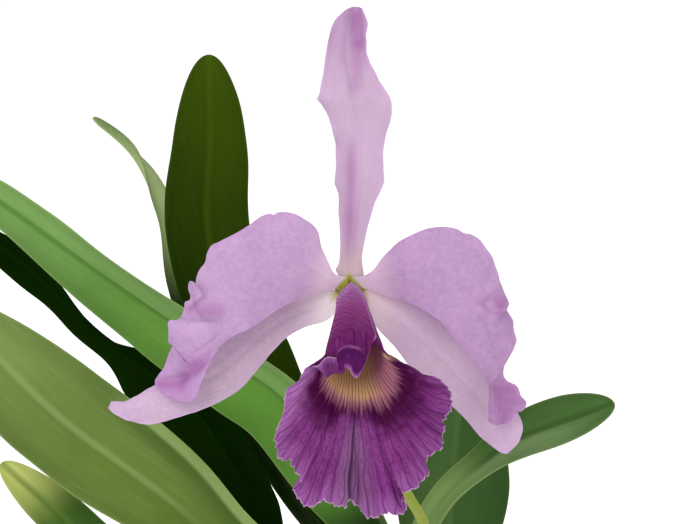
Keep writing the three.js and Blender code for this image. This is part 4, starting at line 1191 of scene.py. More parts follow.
PETAL_RIGHT = [
    [0.6, -0.9, 0.6, 2.0, PETAL_BASE, 0],
    [3.1, -2, 3.1, 1.8, PETAL_BASE, 0],
    [7.4, -2.6, 6.2, 3.6, 0, 0],
    [14.3, -4.7, 11.7, 10.4, -2.4, 0],
    [19.5, -6.8, 18, 14.8, -5, 0.6],
    [24.6, -9.3, 27, 18, -7, 0.4],
    [29.7, -12.9, 35.8, 17.1, -8, 0.2],
    [33.9, -17.6, 43.1, 12.4, -8.6, 0],
    [37.5, -22.2, 47.9, 3.6, -8.6, -0.5],
    [41.2, -27, 50.3, -6, -8.2, -1],
    [43.8, -31.5, 53.4, -15, -7.6, -1],
    [44.8, -37, 51.8, -26, -6.8, -0.6],
    [45.2, -42, 56.6, -38.5, -6, 0],
    [47, -45.8, 51.8, -46.6, -5, 0],
]
# How far back the petals' outer margins wave at each row.
MARGIN_LEFT = [0, 0, 0, 0.5, -0.6, 0.8, -0.6, 1.2, 0.6, -2.6, 2.6, -2.4, 1.4, 2.0]
MARGIN_RIGHT = [0, 0, 0, 0.4, -0.6, 0.8, -0.4, 0.6, -2.4, 2.2, -1.4, 1.2, 2.4, 1.0]

# The edges drawn finely, as x, z: the side of the first columns above, then the side of the last.
DORSAL_EDGES = (
    [
        (-3.6, -0.5), (-4, 2.6), (-4.8, 4.3), (-3.8, 6.3), (-3.3, 9.9), (-3.2, 16.2), (-4, 25.9),
        (-4.3, 29.9), (-5.2, 32.9), (-4.8, 35.3), (-4.3, 42), (-5.3, 48.3), (-6.7, 53.4), (-9.4, 59.1),
        (-11, 61.2), (-10, 63.4), (-9, 68.7), (-8, 77.8), (-6.7, 84.2), (-5, 87.9), (-3, 90.2),
        (-1, 91.8), (0.4, 91.8),
    ],
    [
        (3.6, -0.5), (4.6, 2.6), (4.3, 4.9), (4, 8.3), (5.6, 17.6), (7.7, 26.2), (10, 30.9), (11.3, 34.3),
        (11, 38.3), (10.7, 43.6), (12, 48.6), (13.4, 53.7), (14, 58.1), (13.7, 61.1), (9.4, 68.4),
        (7.4, 72.4), (5.7, 76.5), (5, 81.2), (4.7, 83.2), (5.4, 86.6), (4.7, 90.2), (4, 91.9), (2.8, 92.3),
    ],
)
LEFT_EDGES = (
    [
        (-0.6, -0.9), (-3.3, -1.7), (-9.9, -3), (-14.1, -4.6), (-18.6, -6.1), (-22.7, -8), (-26, -10.3),
        (-29.2, -12.5), (-33.4, -15.1), (-36.3, -16.4), (-40.2, -19), (-43.9, -23.6), (-46.5, -27.6),
        (-48.2, -31.5), (-49.5, -35.4), (-51.6, -39.1),
    ],
    [
        (-0.6, 2.0), (-5, 3), (-7.3, 7.3), (-9.5, 12.8), (-10.5, 17.1), (-12.4, 19.3), (-15, 21),
        (-17.9, 22.6), (-20.9, 23.2), (-23.7, 23), (-24.9, 22.2), (-26, 22.7), (-28.6, 21.9),
        (-32.8, 18.9), (-35.7, 17),
        (-38.6, 15.4), (-42.8, 13.4), (-45, 12.4), (-46.7, 9.8), (-47, 6.9), (-49, 4.3), (-50, 1.4),
        (-50.1, -0.2), (-50.9, 0.6), (-51.9, 0.8), (-52.5, -2.2), (-51.8, -5.4), (-53, -5.7), (-54, -7.4),
        (-56, -11.9), (-58.6, -12.6), (-59.1, -15.9), (-59.1, -19.8), (-58, -20.4), (-58.6, -22.4),
        (-60.6, -27.6), (-62.9, -30.5), (-63.4, -32.8), (-62.6, -35.1), (-60.1, -37.2), (-57.8, -38.5),
        (-55.5, -39.3),
    ],
)
RIGHT_EDGES = (
    [
        (0.6, -0.9), (4, -1.7), (9.9, -3.6), (13.8, -4.9), (17.9, -6.1), (22.2, -7.7), (26, -10),
        (28.9, -11.9), (31.1, -14.5), (34.7, -18.7), (38.6, -23.6), (41.9, -27.9), (44.3, -31.5),
        (45.3, -36.4), (45, -40.6), (45.1, -45),
    ],
    [
        (0.6, 2.0), (5, 2.6), (7.9, 4.6), (10.5, 8.2), (13.5, 11.5), (16.3, 13.8), (21.2, 16.4), (26, 18),
        (31.2, 18.3), (34.7, 17.6), (37, 16.3), (38.9, 16), (41.8, 14.4), (44.1, 11.5), (46, 8.9),
        (46.7, 6.6), (47.7, 3.7), (48.7, 1.1), (49.7, -1.5), (50.4, -4.4), (50.5, -7.4), (51.4, -9),
        (53.1, -12.3), (53.1, -15.2), (53.7, -18.1), (53.1, -21.4), (51.5, -23.7), (50.8, -26.3),
        (50.5, -28.3), (51.1, -30.9), (54.1, -33.8), (55.4, -37.1), (57.4, -39.3), (56.7, -41.3),
        (54.4, -42.6), (53.2, -45.3), (51.3, -47), (48.3, -47),
    ],
)
# Each fold runs from x, z to x, z. Then come its height towards the front, how wide it is on its
# right and on its left, and its tint of painted shading: above 0 a deeper mauve painted shade in
# the crease, below 0 a paler painted highlight.
DORSAL_FOLDS = [
    [1.7, 91, 2, 79.3, -2.2, 1.6, 2.4, 0.6],
    [2, 80, 1.3, 64, -1.4, 2.2, 2.8, 0.45],
    [1, 47.8, -0.3, 6, -1.0, 2.2, 2.2, 0.6],
    [-2.3, 90, -5, 72, 0.8, 2, 2, -0.2],
]
LEFT_FOLDS = [
    [-47.1, -3.1, -52.9, -8.3, 1.6, 4.5, 0.8, 0.05],
    [-40, -9.4, -54.5, -8.8, -0.9, 3.6, 2.2, 0.55],
    [-60, -12.2, -42.5, -12.7, 1.3, 5, 0.9, -0.35],
    [-53, -22.3, -59, -20.3, 1.0, 3.5, 0.8, -0.2],
    [-43.1, -16.1, -52.3, -22.6, 0.9, 3.4, 0.8, 0.1],
    [-54.9, -25, -47.7, -28, -0.8, 3.4, 3.4, 0.35],
    [-34.4, -15, -44.5, -23.6, -1.4, 3.8, 0.9, 0.25],
    [-44.5, -23.6, -53.9, -32, -1.7, 3.4, 0.9, 0.4],
    [-52.4, -33.3, -63.3, -32.4, -0.7, 2.6, 3, 0.55],
    [-64, -30.6, -53.4, -30.1, 1.9, 5, 0.7, 0.25],
]
RIGHT_FOLDS = [
    [51.5, -7.5, 46.1, -9.3, 2.2, 4.4, 0.7, 0.2],
    [46.1, -9.3, 43, -6, 2.0, 4, 0.7, 0.2],
    [40.9, -10.3, 44.8, -10.8, -0.8, 1.6, 1.8, 0.3],
    [45.4, -5.4, 50.5, -5.4, 0, 5, 5, 0.35],
    [45.8, -34.3, 31.5, -15.1, -1.2, 2.8, 0.8, 0.25],
    [31.5, -15.1, 16.2, -6.1, -0.7, 1.8, 0.6, 0.12],
    [49.2, -32, 51.6, -48, -2.0, 3.0, 3.2, 0.6],
    [46.1, -33.3, 46.4, -45, 1.2, 1.0, 1.8, 0.1],
    [52.6, -33.5, 57, -40, 1.2, 2.6, 3, 0.3],
]


def along_edge(edge, rough, u):
    """Reads a finely drawn edge at the pace of the rough one that it stands for."""
    line = Line([[x, 0, z] for x, z in edge])
    share = line.run / line.length
    spots = line.points[:, ::2]
    pace = [share[np.argmin(np.linalg.norm(spots - spot, axis=1))] for spot in rough]
    pace[0], pace[-1] = 0, 1
    read = line.at(np.interp(u, np.linspace(0, 1, len(rough)), np.maximum.accumulate(pace)))
    return read[:, :1], read[:, 2:]


def folded(x, z, folds):
    """The height, and the tint of painted shade and highlight, that the folds give at each point."""
    height, tint = np.zeros_like(x), np.zeros_like(x)
    for x0, z0, x1, z1, rise, right, left, painted_shading in folds:
        length = math.hypot(x1 - x0, z1 - z0)
        way_x, way_z = (x1 - x0) / length, (z1 - z0) / length
        share = ((x - x0) * way_x + (z - z0) * way_z) / length
        off = (x - x0) * way_z - (z - z0) * way_x
        shape = np.exp(-((off / np.where(off > 0, right, left)) ** 2))
        shape *= smooth(share, -0.2, 0.2) * (1 - smooth(share, 0.8, 1.2))
        height += rise * shape
        tint += painted_shading * shape
    return height, tint


def tepal(rough, flip, seed, groove, edges=None, wave=None, folds=(), rows=150, cols=57):
    u = np.linspace(0, 1, rows)
    v = spread_columns(cols, 0.6)
    vv, uu = np.meshgrid(v, u)
    x0, z0, x1, z1, middle_y, forward = through(rough)(u).T[:, :, None]
    if edges:
        table = np.array(rough, float)
        x0, z0 = along_edge(edges[0], table[:, 0:2], u)
        x1, z1 = along_edge(edges[1], table[:, 2:4], u)
    ss = 2 * vv - 1
    waves = 0 if wave is None else through(wave)(u)[:, None] * vv**2
    x, y, z = x0 + (x1 - x0) * vv, middle_y - forward * ss**2 + waves, z0 + (z1 - z0) * vv
    middle = from_bloom(np.stack([x, y, z], axis=-1))
    half = np.hypot(x1 - x0, z1 - z0) / 2 * np.ones_like(vv)
    line = middle[:, cols // 2]
    run = np.concatenate([[0], np.cumsum(np.linalg.norm(np.diff(line, axis=0), axis=1))])[:, None]
    margin = np.minimum((1 - np.abs(ss)) * half, (run[-1] - run) * np.ones_like(vv))
    fray = smooth(uu, 0.12, 0.35) * np.abs(ss) ** 5
    height, tint = folded(x, z, folds)
    relief = height + 0.3 * waver(middle, 26, seed) * smooth(uu, 0.1, 0.3)
    relief += 0.45 * waver(middle, 9, seed + 1) * fray
    relief += 0.25 * waver(middle, 3.4, seed + 2) * fray * np.abs(ss) ** 6
    relief -= groove * hump(ss * half, 0, 1.1) * smooth(uu, 0.05, 0.15) * (1 - smooth(uu, 0.7, 0.95))
    rounded = np.sqrt(np.clip(margin / 0.8, 0.03, 1))
    thick = TEPAL_THICKNESS * (1 - 0.45 * np.abs(ss)) * rounded / 2
    marks = {
        "across": ss,
        "along": uu,
        "across_mm": ss * half,
        "along_mm": run * np.ones_like(vv),
        "margin": margin,
        "tint": tint,
    }
    return blade(middle, thick, thick, marks, flip=flip, relief=relief)


# Each finish of a sepal or petal: the body's colour, a cooler one in patches, the foot's and the
# tip's, and the number of veins. On the lower sepals the pale foot is also painted light that lifts
# the shadow which the petals cast there.
TEPAL_LOOKS = {
    "top sepal": [(209, 182, 212), (192, 160, 192), (204, 178, 182), (182, 142, 186), 7.0],
    "lower sepal": [(216, 188, 214), (198, 168, 198), (252, 238, 240), (222, 188, 226), 7.0],
    "shaded sepal": [(216, 188, 214), (198, 168, 198), (238, 218, 222), (222, 188, 226), 7.0],
    "left petal": [(200, 161, 207), (178, 144, 188), (240, 212, 230), (190, 144, 200), 12.0],
    # The right petal's colours are darker than the left's as painted shade: the light falls from the left.
    "right petal": [(193, 153, 200), (174, 139, 184), (236, 206, 226), (170, 125, 178), 12.0],
}
VEIN_MAUVE = srgb(160, 104, 172)
FOLD_PAINTED_SHADE = srgb(172, 108, 172)
FOLD_PAINTED_HIGHLIGHT = srgb(226, 190, 240)
TEPAL_RIM = srgb(206, 158, 222)
OLIVE = srgb(180, 178, 66)


def tepal_finish(name):
    *colours, veins = TEPAL_LOOKS[name]
    body, cool, pale, tip = (srgb(*colour) for colour in colours)
    made, p, shader = finish_of(
        name, Roughness=0.55, Specular_IOR_Level=0.2,
        Subsurface_Weight=0.15, Subsurface_Scale=0.0012, Subsurface_Radius=(1.0, 0.6, 0.9),
    )
    across, along = p.mark("across"), p.mark("along")
    patches = p.clouds(15.0, 1.0)
    colour = p.mix(p.times(patches, 0.7), body, cool)
    colour = p.mix(p.ease(along, 0.6, 1.0), colour, tip)
    fine = p.clouds(1.6, 1.2)
    colour = p.mix(p.times(fine, 0.2), colour, pale)
    lines = p.veins(across, p.times(along, 7.0), count=veins, width=0.4, wander=1.6)
    branches = p.veins(
        across, p.times(along, 14.0), count=veins * 2.3, width=0.36, wander=2.4, seed=4.0
    )
    netting = p.math("MAXIMUM", lines, p.times(branches, p.ease(along, 0.25, 0.6, 0.0, 0.7)))
    faint = p.times(p.clouds(5.0, 1.6), 0.1)
    colour = p.mix(p.times(netting, faint), colour, VEIN_MAUVE)
    # The fold tint is painted shade in the creases and painted highlight on the ridges.
    tint = p.mark("tint")
    colour = p.mix(p.ease(tint, 0.0, 1.1), colour, FOLD_PAINTED_SHADE)
    colour = p.mix(p.ease(tint, 0.0, -1.1), colour, FOLD_PAINTED_HIGHLIGHT)
    colour = p.mix(p.ease(p.mark("margin"), 0.1, 1.4, 0.25, 0.0), colour, TEPAL_RIM)
    # A paler foot: the tepal's own, and on the lower sepals also painted light against the petals' shadow.
    centre = p.ease(p.mark("along_mm"), 3.0, 20.0, 0.9, 0.0)
    colour = p.mix(centre, colour, pale)
    colour = p.mix(p.group(CHEVRON, Place=p.place()), colour, OLIVE)
    grain = p.cells(0.45)
    height = p.add(p.times(grain, 0.5), p.times(netting, -0.6))
    dress(p, shader, colour, p.math("MULTIPLY_ADD", fine, 0.16, 0.48), height, 0.07)
    return made


def perianth():
    upright, hanging, shaded, mauve, shaded_right_petal = (tepal_finish(name) for name in TEPAL_LOOKS)
    top = tepal(DORSAL_SEPAL, True, 1, 0.5, DORSAL_EDGES, folds=DORSAL_FOLDS, rows=200, cols=65)
    place("top_sepal", top, upright, "sepal", "dorsal_sepal")
    left = tepal(LATERAL_SEPAL_LEFT, True, 2, 0.3)
    place("left_sepal", left, hanging, "sepal", "lateral_sepal_left")
    right = tepal(LATERAL_SEPAL_RIGHT, False, 3, 0.3)
    place("right_sepal", right, shaded, "sepal", "lateral_sepal_right")
    left = tepal(PETAL_LEFT, True, 4, 0.2, LEFT_EDGES, MARGIN_LEFT, LEFT_FOLDS, 220, 76)
    place("left_petal", left, mauve, "petal", "petal_left")
    right = tepal(PETAL_RIGHT, False, 5, 0.4, RIGHT_EDGES, MARGIN_RIGHT, RIGHT_FOLDS, 220, 76)
    place("right_petal", right, shaded_right_petal, "petal", "petal_right")


# ---------------------------------------------------------------- lip

# Each row of the rim: degrees round the tube from straight down, and x, y, z in the bloom's frame.
LIP_RIM = [
    [-222, 6.5, -33, -18.0],
    [-205, 5.2, -35, -22.1],
    [-183, 2.4, -37, -28.4],
    [-168, 0, -36.5, -26.3],
    [-152, -2.1, -35, -23.4],
    [-138, -4.6, -33, -22.3],
    [-126, -7.4, -32, -22.3],
    [-116, -9.9, -32, -24.8],
    [-107, -13.6, -32, -25.7],
    [-99, -15.7, -32, -29.4],
    [-90, -19.7, -33, -32.7],
    [-80, -20.2, -34, -37.8],
    [-70, -22.1, -34, -43.4],
    [-62, -22.9, -35, -47.8],
    [-54, -22.3, -36, -52.3],
    [-47, -18.3, -37, -53.7],
    [-41, -17.7, -37, -56.7],
    [-36, -14.6, -38, -59.0],
    [-31, -17.4, -37, -62.5],
    [-26, -14.9, -38, -66.0],
    [-20, -11.8, -39, -67.7],
    [-14, -8.0, -40, -65.1],
    [-8, -4.5, -40, -66.9],
    [-4, -1.5, -40, -67.8],
    [-1, 0.2, -40, -64.2],
    [3, 3.3, -40, -69.0],
    [8, 7.3, -40, -70.2],
    [13, 11.5, -39, -69.8],
    [19, 17.0, -38, -68.7],
    [24, 15.8, -39, -63.4],
    [31, 21.1, -38, -61.4],
    [38, 23.8, -37, -57.0],
    [43, 23.5, -37, -54.0],
    [50, 27.5, -36, -50.2],
    [56, 28.1, -35, -47.5],
    [62, 29.4, -35, -44.2],
    [68, 28.5, -35, -41.4],
    [75, 31.8, -33, -37.2],
    [82, 29.8, -33, -31.5],
    [90, 27.0, -33, -28.4],
    [96, 24.1, -33, -29.0],
    [103, 20.3, -32, -26.0],
    [112, 17.0, -31, -24.7],
    [124, 12.7, -30, -23.7],
    [142, 10.7, -30, -20.9],
    [165, 8.0, -31, -18.4],
    [188, 5.2, -32, -17.4],
]
TUBE_LINE = [[0.4, 0.3, -5.2], [0.5, -3.4, -6], [0.8, -10, -9.2], [1.1, -19, -15], [1.5, -28, -22]]
tube_radius = through([4.7, 5, 6, 7.4, 8.9])
TUBE_POINT = 0.5
LAP_LEFT = -150
LAP_RIGHT = 135
LAP_TURN = 30
LAP_LIFT = (0.55, 0.95)
FLARE_LEAVE = 0.36
FRILL = 2
FRILL_PITCH = 9.5
FRILL_LOBES = 1.1

# The left margin over the mouth rolls outward between these degrees.
ROLL_STARTS = (-178, -152)
ROLL_ENDS = (-122, -104)
ROLL_RIM = np.array([0, -2.5, 0])
ROLL_BEND = np.array([0, -3.5, -15])
# The column's tip swells under the left lobe, at x and z in the bloom's frame.
DOME = (0.3, -23.6)
DOME_RADIUS = 4.6
DOME_RISE = 1.9
DOME_ENDS = -146
TUBE_RUN = 33  # about how long the sheet is inside the tube, and with the left lobe beyond it
LIP_RUN = 42
# How far the pale throat reaches past the tube's mouth, at degrees round it.
THROAT_REACH = [
    [-92, -3], [-78, 5], [-66, 7.5], [-50, 9], [-26, 10.7], [8, 12.3], [45, 12], [65, 11], [85, 6.5],
    [100, 4.2], [125, 3.4], [150, 3.4],
]

tube_line = Line(TUBE_LINE)


def tube_point(t, degrees, radius):
    tangent = tube_line.tangent(t)
    right = unit(np.array([1.0, 0, 0]) - tangent[..., :1] * tangent)
    down = unit(np.cross(right, tangent))
    angle = np.radians(degrees)
    roof = np.maximum(-np.cos(angle), 0)
    narrow = 1 - TUBE_POINT * roof * np.maximum(1 - 2 * t, 0)
    return (
        tube_line.at(t)
        + down * (radius * np.cos(angle))[..., None]
        + right * (radius * narrow * np.sin(angle))[..., None]
    )


def frilled(middle, outward, rim, degrees, flare):
    """The sheet with waves, crimps and scallops that grow towards the front lobe's rim."""
    lobe = smooth(degrees, -115, -65) * (1 - smooth(degrees, 83, 109))
    edge_run = np.concatenate([[0], np.cumsum(np.linalg.norm(np.diff(rim[:, 0], axis=0), axis=1))])
    turns = 2 * math.pi * edge_run[:, None] / FRILL_PITCH
    wander = 1.4 * np.sin(turns * 0.23 + 1) + 0.8 * np.sin(turns * 0.61)
    ruffle = FRILL * 0.8 * ((0.25 + 0.75 * lobe) * flare**4) * np.sin(turns + wander)
    crimp = 0.45 * (0.3 + 0.7 * lobe) * flare**12 * np.sin(3.3 * turns + 2 * wander)
    waved = middle.copy()
    waved[..., 1] += ruffle
    waved[..., 1] += crimp
    scallop = 0.35 * np.cos(3.3 * turns + wander) + 0.3 * np.sin(6.1 * turns)
    reach = lobe * (0.4 * FRILL_LOBES * flare**4 * np.cos(turns) + flare**14 * scallop)
    return waved + outward * reach[..., None]


def column_swelling(middle, degrees):
    """How far the column's tip lifts the left lobe, where it does, and the arc round it where a lilac
    highlight is painted.
    """
    beside, above = middle[..., 0] - DOME[0], middle[..., 2] - DOME[1]
    out = np.hypot(beside, above) / DOME_RADIUS
    covered = degrees < DOME_ENDS
    rise = DOME_RISE * np.sqrt(np.maximum(1 - out**2, 0)) * covered
    rise *= smooth(above, -5, 1) * (1 - 0.7 * smooth(beside, 0, 5))
    arc_highlight = hump(out, 1, 0.08) * covered * smooth(above, -1, 2) * (1 - smooth(beside, 1, 4))
    return rise, np.clip(1.12 - out, 0, 1) * covered, arc_highlight


def lip_sheet(rows=400, tube_cols=34, flare_cols=78):
    u = np.linspace(0, 1, rows)
    degrees, x, y, z = through(LIP_RIM)(u).T
    roll = (smooth(degrees, *ROLL_STARTS) * (1 - smooth(degrees, *ROLL_ENDS)))[:, None, None]
    rim = np.stack([x, y, z], axis=-1)[:, None] + roll * ROLL_RIM
    t = np.concatenate([np.linspace(0, 1, tube_cols), np.ones(flare_cols)])
    s = np.concatenate([np.zeros(tube_cols), np.linspace(0, 1, flare_cols + 1)[1:] ** 0.9])
    tt, dd = np.meshgrid(t, degrees)
    lap = (LAP_LIFT[0] + (LAP_LIFT[1] - LAP_LIFT[0]) * tt) * (
        smooth(-dd, -LAP_LEFT, -LAP_LEFT + LAP_TURN) - smooth(dd, LAP_RIGHT, LAP_RIGHT + LAP_TURN)
    )
    ring = tube_point(tt, dd, tube_radius(tt) + lap)
    mouth = ring[:, tube_cols - 1 : tube_cols]
    outward = unit(rim - mouth)
    reach = np.linalg.norm(rim - mouth, axis=-1, keepdims=True)
    leave = mouth + tube_line.tangent(np.array([1.0])) * FLARE_LEAVE * reach + roll * ROLL_BEND
    ss = s[None, :, None] * np.ones((rows, 1, 1))
    flare = (1 - ss) ** 2 * mouth + 2 * ss * (1 - ss) * leave + ss**2 * rim
    middle = np.where(ss > 0, flare, ring)
    ss = ss[..., 0]

    middle = frilled(middle, outward, rim, dd, ss)
    dome, dome_mask, arc_highlight = column_swelling(middle, dd)
    veins = np.cos(np.radians(dd) * 34 + 1.2 * np.sin(5 * ss))
    relief = 0.12 * veins * smooth(ss, 0.05, 0.35) * (1 - 0.4 * ss) + 0.25 * waver(middle, 8, 12) * ss
    relief += dome
    steps = np.linalg.norm(np.diff(middle, axis=1), axis=-1)
    run = np.concatenate([np.zeros((rows, 1)), np.cumsum(steps, axis=1)], axis=1)
    steps = np.linalg.norm(np.diff(middle, axis=0), axis=-1)
    lapped = np.concatenate([np.zeros((1, len(s))), np.cumsum(steps, axis=0)], axis=0)
    margin = run[:, -1:] - run
    flat_end = np.minimum(u, 1 - u)[:, None] * (rows - 1) * 0.4
    rounded = np.sqrt(np.clip(np.minimum(margin, flat_end) / 0.7, 0.04, 1))
    thick = LIP_THICKNESS * (1 - 0.35 * ss) * rounded / 2
    past = run - run[:, tube_cols - 1 : tube_cols]
    marks = {
        "degrees": dd,
        "tube": tt,
        "flare": ss,
        "past_mouth": past,
        "throat": np.interp(dd, *np.array(THROAT_REACH, float).T) - past,
        "margin": margin,
        "lapped": np.minimum(lapped, 9),
        "dome": dome_mask,
        "arc_highlight": arc_highlight,
    }
    return blade(from_bloom(middle), thick, thick, marks, flip=True, relief=-relief)


LIP_PURPLE = srgb(116, 38, 114)
LIP_CLOUD = srgb(142, 70, 142)
LIP_SPECK = srgb(158, 84, 158)
LIP_EDGE = srgb(164, 98, 170)
LIP_LEFT = srgb(192, 134, 198)
LIP_RIGHT = srgb(106, 28, 104)
ROLL_EDGE = srgb(150, 84, 158)
ROLL_DARK = srgb(96, 28, 96)
LIP_MIDLINE = srgb(142, 104, 144)
LIP_VEIN = srgb(72, 8, 72)
LIP_CORE = srgb(52, 30, 62)
THROAT_RING = srgb(68, 2, 56)
THROAT_OCHRE = srgb(206, 160, 114)
THROAT_BLUSH = srgb(156, 92, 122)
THROAT_CREAM_PAINTED_LIGHT = srgb(246, 212, 156)
THROAT_VEIN = srgb(86, 24, 46)
TUBE_CLOUD = srgb(156, 76, 142)
TUBE_RIGHT = srgb(74, 8, 74)
TUBE_VEIN = srgb(72, 2, 70)
LAP_PALE = srgb(188, 132, 196)
DOME_DARK = srgb(84, 18, 84)
DOME_ARC_HIGHLIGHT = srgb(160, 98, 168)
TUBE_RIM = srgb(140, 74, 150)
LIP_MARGIN = srgb(214, 186, 206)

# The tube's outside from its foot to the far rim, at shares of the whole run.
TUBE_COLOURS = [
    [0.03, (200, 148, 206)], [0.2, (168, 96, 164)], [0.45, (150, 60, 130)], [0.75, (110, 26, 100)],
    [1.0, (80, 10, 76)],
]


def front_lobe_colour(p, netting, patches):
    degrees, flare, margin = p.mark("degrees"), p.mark("flare"), p.mark("margin")
    colour = p.mix(p.times(patches, 0.6), LIP_PURPLE, LIP_CLOUD)
    colour = p.mix(p.times(p.clouds(0.8, 1.6), 0.4), colour, LIP_SPECK)
    colour = p.mix(p.ease(margin, 0.8, 9.0, 0.8, 0.0), colour, LIP_EDGE)
    left_side = p.times(p.ease(degrees, -50.0, -85.0), p.ease(degrees, -100.0, -116.0, 0.4, 0.0))
    colour = p.mix(left_side, colour, LIP_LEFT)
    colour = p.mix(p.ease(degrees, 12.0, 70.0, 0.0, 0.55), colour, LIP_RIGHT)
    rolled = p.ease(degrees, -108.0, -126.0, 0.0, 0.8)
    colour = p.mix(rolled, colour, p.mix(p.ease(margin, 0.4, 2.6), ROLL_EDGE, ROLL_DARK))
    midline = p.ease(p.math("ABSOLUTE", p.add(degrees, 1.0)), 2.0, 15.0, 0.6, 0.0)
    colour = p.mix(p.times(midline, p.ease(flare, 0.4, 0.65)), colour, LIP_MIDLINE)
    colour = p.mix(p.times(netting, 0.62), colour, LIP_VEIN)
    core = p.ease(p.math("ABSOLUTE", p.add(degrees, 1.5)), 0.2, 1.6, 0.85, 0.0)
    return p.mix(p.times(core, p.ease(flare, 0.25, 0.4)), colour, LIP_CORE)


def with_throat(p, colour, main_veins, patches):
    """Lays the dark ring round the throat over a colour, and the throat's pale fingers over both."""
    degrees, past, throat = p.mark("degrees"), p.mark("past_mouth"), p.mark("throat")
    aside = p.ease(p.math("ABSOLUTE", p.add(degrees, 2.0)), 8.0, 34.0, 5.0, 11.0)
    ring = p.add(throat, p.add(aside, p.times(patches, -3.0)))
    colour = p.mix(p.ease(ring, -5.0, 5.0), colour, THROAT_RING)
    fingers = p.add(throat, p.times(main_veins, -3.0))
    streaks = p.noise(p.spot(p.times(degrees, 0.3), p.times(past, 0.1)), 1.0, 2.0)
    fingers = p.add(fingers, p.times(p.add(streaks, -0.55), 9.0))
    blush = p.ease(degrees, 15.0, 60.0, 0.0, 0.9)
    blush = p.math("MAXIMUM", blush, p.ease(fingers, 0.0, 4.0, 0.9, 0.0))
    yellow = p.mix(blush, THROAT_OCHRE, THROAT_BLUSH)
    # The throat's own cream, made paler here as painted light that lifts the tube's shadow.
    yellow = p.mix(p.ease(degrees, 88.0, 120.0, 0.0, 0.9), yellow, THROAT_CREAM_PAINTED_LIGHT)
    yellow = p.mix(p.ease(main_veins, 0.0, 0.5, 0.0, 0.95), yellow, THROAT_VEIN)
    return p.mix(p.ease(fingers, -3.4, 1.4), colour, yellow)


def tube_outside_colour(p, turn, patches):
    degrees, past = p.mark("degrees"), p.mark("past_mouth")
    stops = ((place_on_tube, srgb(*colour)) for place_on_tube, colour in TUBE_COLOURS)
    outer = p.ramp(p.math("MULTIPLY_ADD", past, 1 / LIP_RUN, TUBE_RUN / LIP_RUN), *stops)
    outer = p.mix(p.times(patches, 0.3), outer, TUBE_CLOUD)
    outer = p.mix(p.ease(degrees, 118.0, 150.0, 0.0, 0.6), outer, TUBE_RIGHT)
    slant = p.add(p.mark("tube"), p.times(turn, 1.6))
    lines = p.veins(slant, p.times(turn, 9.0), count=13.0, width=0.3, wander=1.4)
    outer = p.mix(p.times(lines, 0.75), outer, TUBE_VEIN)
    outer = p.mix(p.ease(p.mark("lapped"), 0.3, 1.0, 0.8, 0.0), outer, LAP_PALE)
    outer = p.mix(p.ease(p.mark("dome"), 0.08, 0.3), outer, DOME_DARK)
    # A painted lilac highlight, a glint along the fold over the dome.
    outer = p.mix(p.times(p.mark("arc_highlight"), 0.9), outer, DOME_ARC_HIGHLIGHT)
    return p.mix(p.ease(p.mark("margin"), 0.8, 1.8, 0.9, 0.0), outer, TUBE_RIM)


def lip_finish():
    made, p, shader = finish_of(
        "lip", Specular_IOR_Level=0.06,
        Subsurface_Weight=0.08, Subsurface_Scale=0.001, Subsurface_Radius=(1.0, 0.3, 0.9),
    )
    past = p.mark("past_mouth")
    turn = p.times(p.mark("degrees"), 1 / 360)
    main_veins = p.veins(turn, p.times(past, 0.08), count=62.0, width=0.2, wander=0.7)
    side_veins = p.veins(turn, p.times(past, 0.16), count=134.0, width=0.24, wander=1.5, seed=3.0)
    branches = p.times(side_veins, p.ease(p.mark("flare"), 0.35, 0.7, 0.0, 0.8))
    netting = p.math("MAXIMUM", main_veins, branches)
    patches = p.clouds(3.0, 1.2)
    inner = with_throat(p, front_lobe_colour(p, netting, patches), main_veins, patches)
    outer = tube_outside_colour(p, turn, patches)
    colour = p.mix(p.ease(p.mark("side"), -0.5, 0.5), outer, inner)
    colour = p.mix(p.ease(p.mark("margin"), 0.1, 0.5, 0.65, 0.0), colour, LIP_MARGIN)
    height = p.add(p.times(p.cells(0.4), 0.4), p.times(netting, -0.8))
    gloss = p.ease(p.mark("dome"), 0.05, 0.3, 0.0, -0.28)
    dress(p, shader, colour, p.add(p.math("MULTIPLY_ADD", patches, 0.15, 0.42), gloss), height, 0.1)
    return made


# ---------------------------------------------------------------- column

COLUMN_RADIUS = 3.1
ROOF_ROOM = 1.6
column_radius = through([2.3, 2.2, 2.4, 2.7, 3, COLUMN_RADIUS])
cap_radius = through([2.9, 3.3, 3.2, 2.7, 1.9, 0.5])

COLUMN_FOOT = srgb(196, 190, 120)
COLUMN_TIP = srgb(150, 84, 158)
COLUMN_SHEEN = srgb(226, 210, 228)
CAP_MAUVE = srgb(226, 212, 226)
CAP_CREAM = srgb(244, 236, 220)


def column_centre(t):
    t = np.asarray(t, float)
    radius = np.maximum(tube_radius(t) - column_radius(t) - ROOF_ROOM, 0)
    return tube_point(t, 180 * np.ones_like(t), radius)


def waxy_finish(name, body, tip):
    made, p, shader = finish_of(
        name, Roughness=0.35, Specular_IOR_Level=0.45, Subsurface_Weight=0.2, Subsurface_Scale=0.001
    )
    patches = p.clouds(2.0, 1.2)
    colour = p.mix(p.ease(p.mark("along"), 0.2, 1.0), body, tip)
    colour = p.mix(p.times(patches, 0.3), colour, COLUMN_SHEEN)
    dress(p, shader, colour, None, p.cells(0.4), 0.05)
    return made


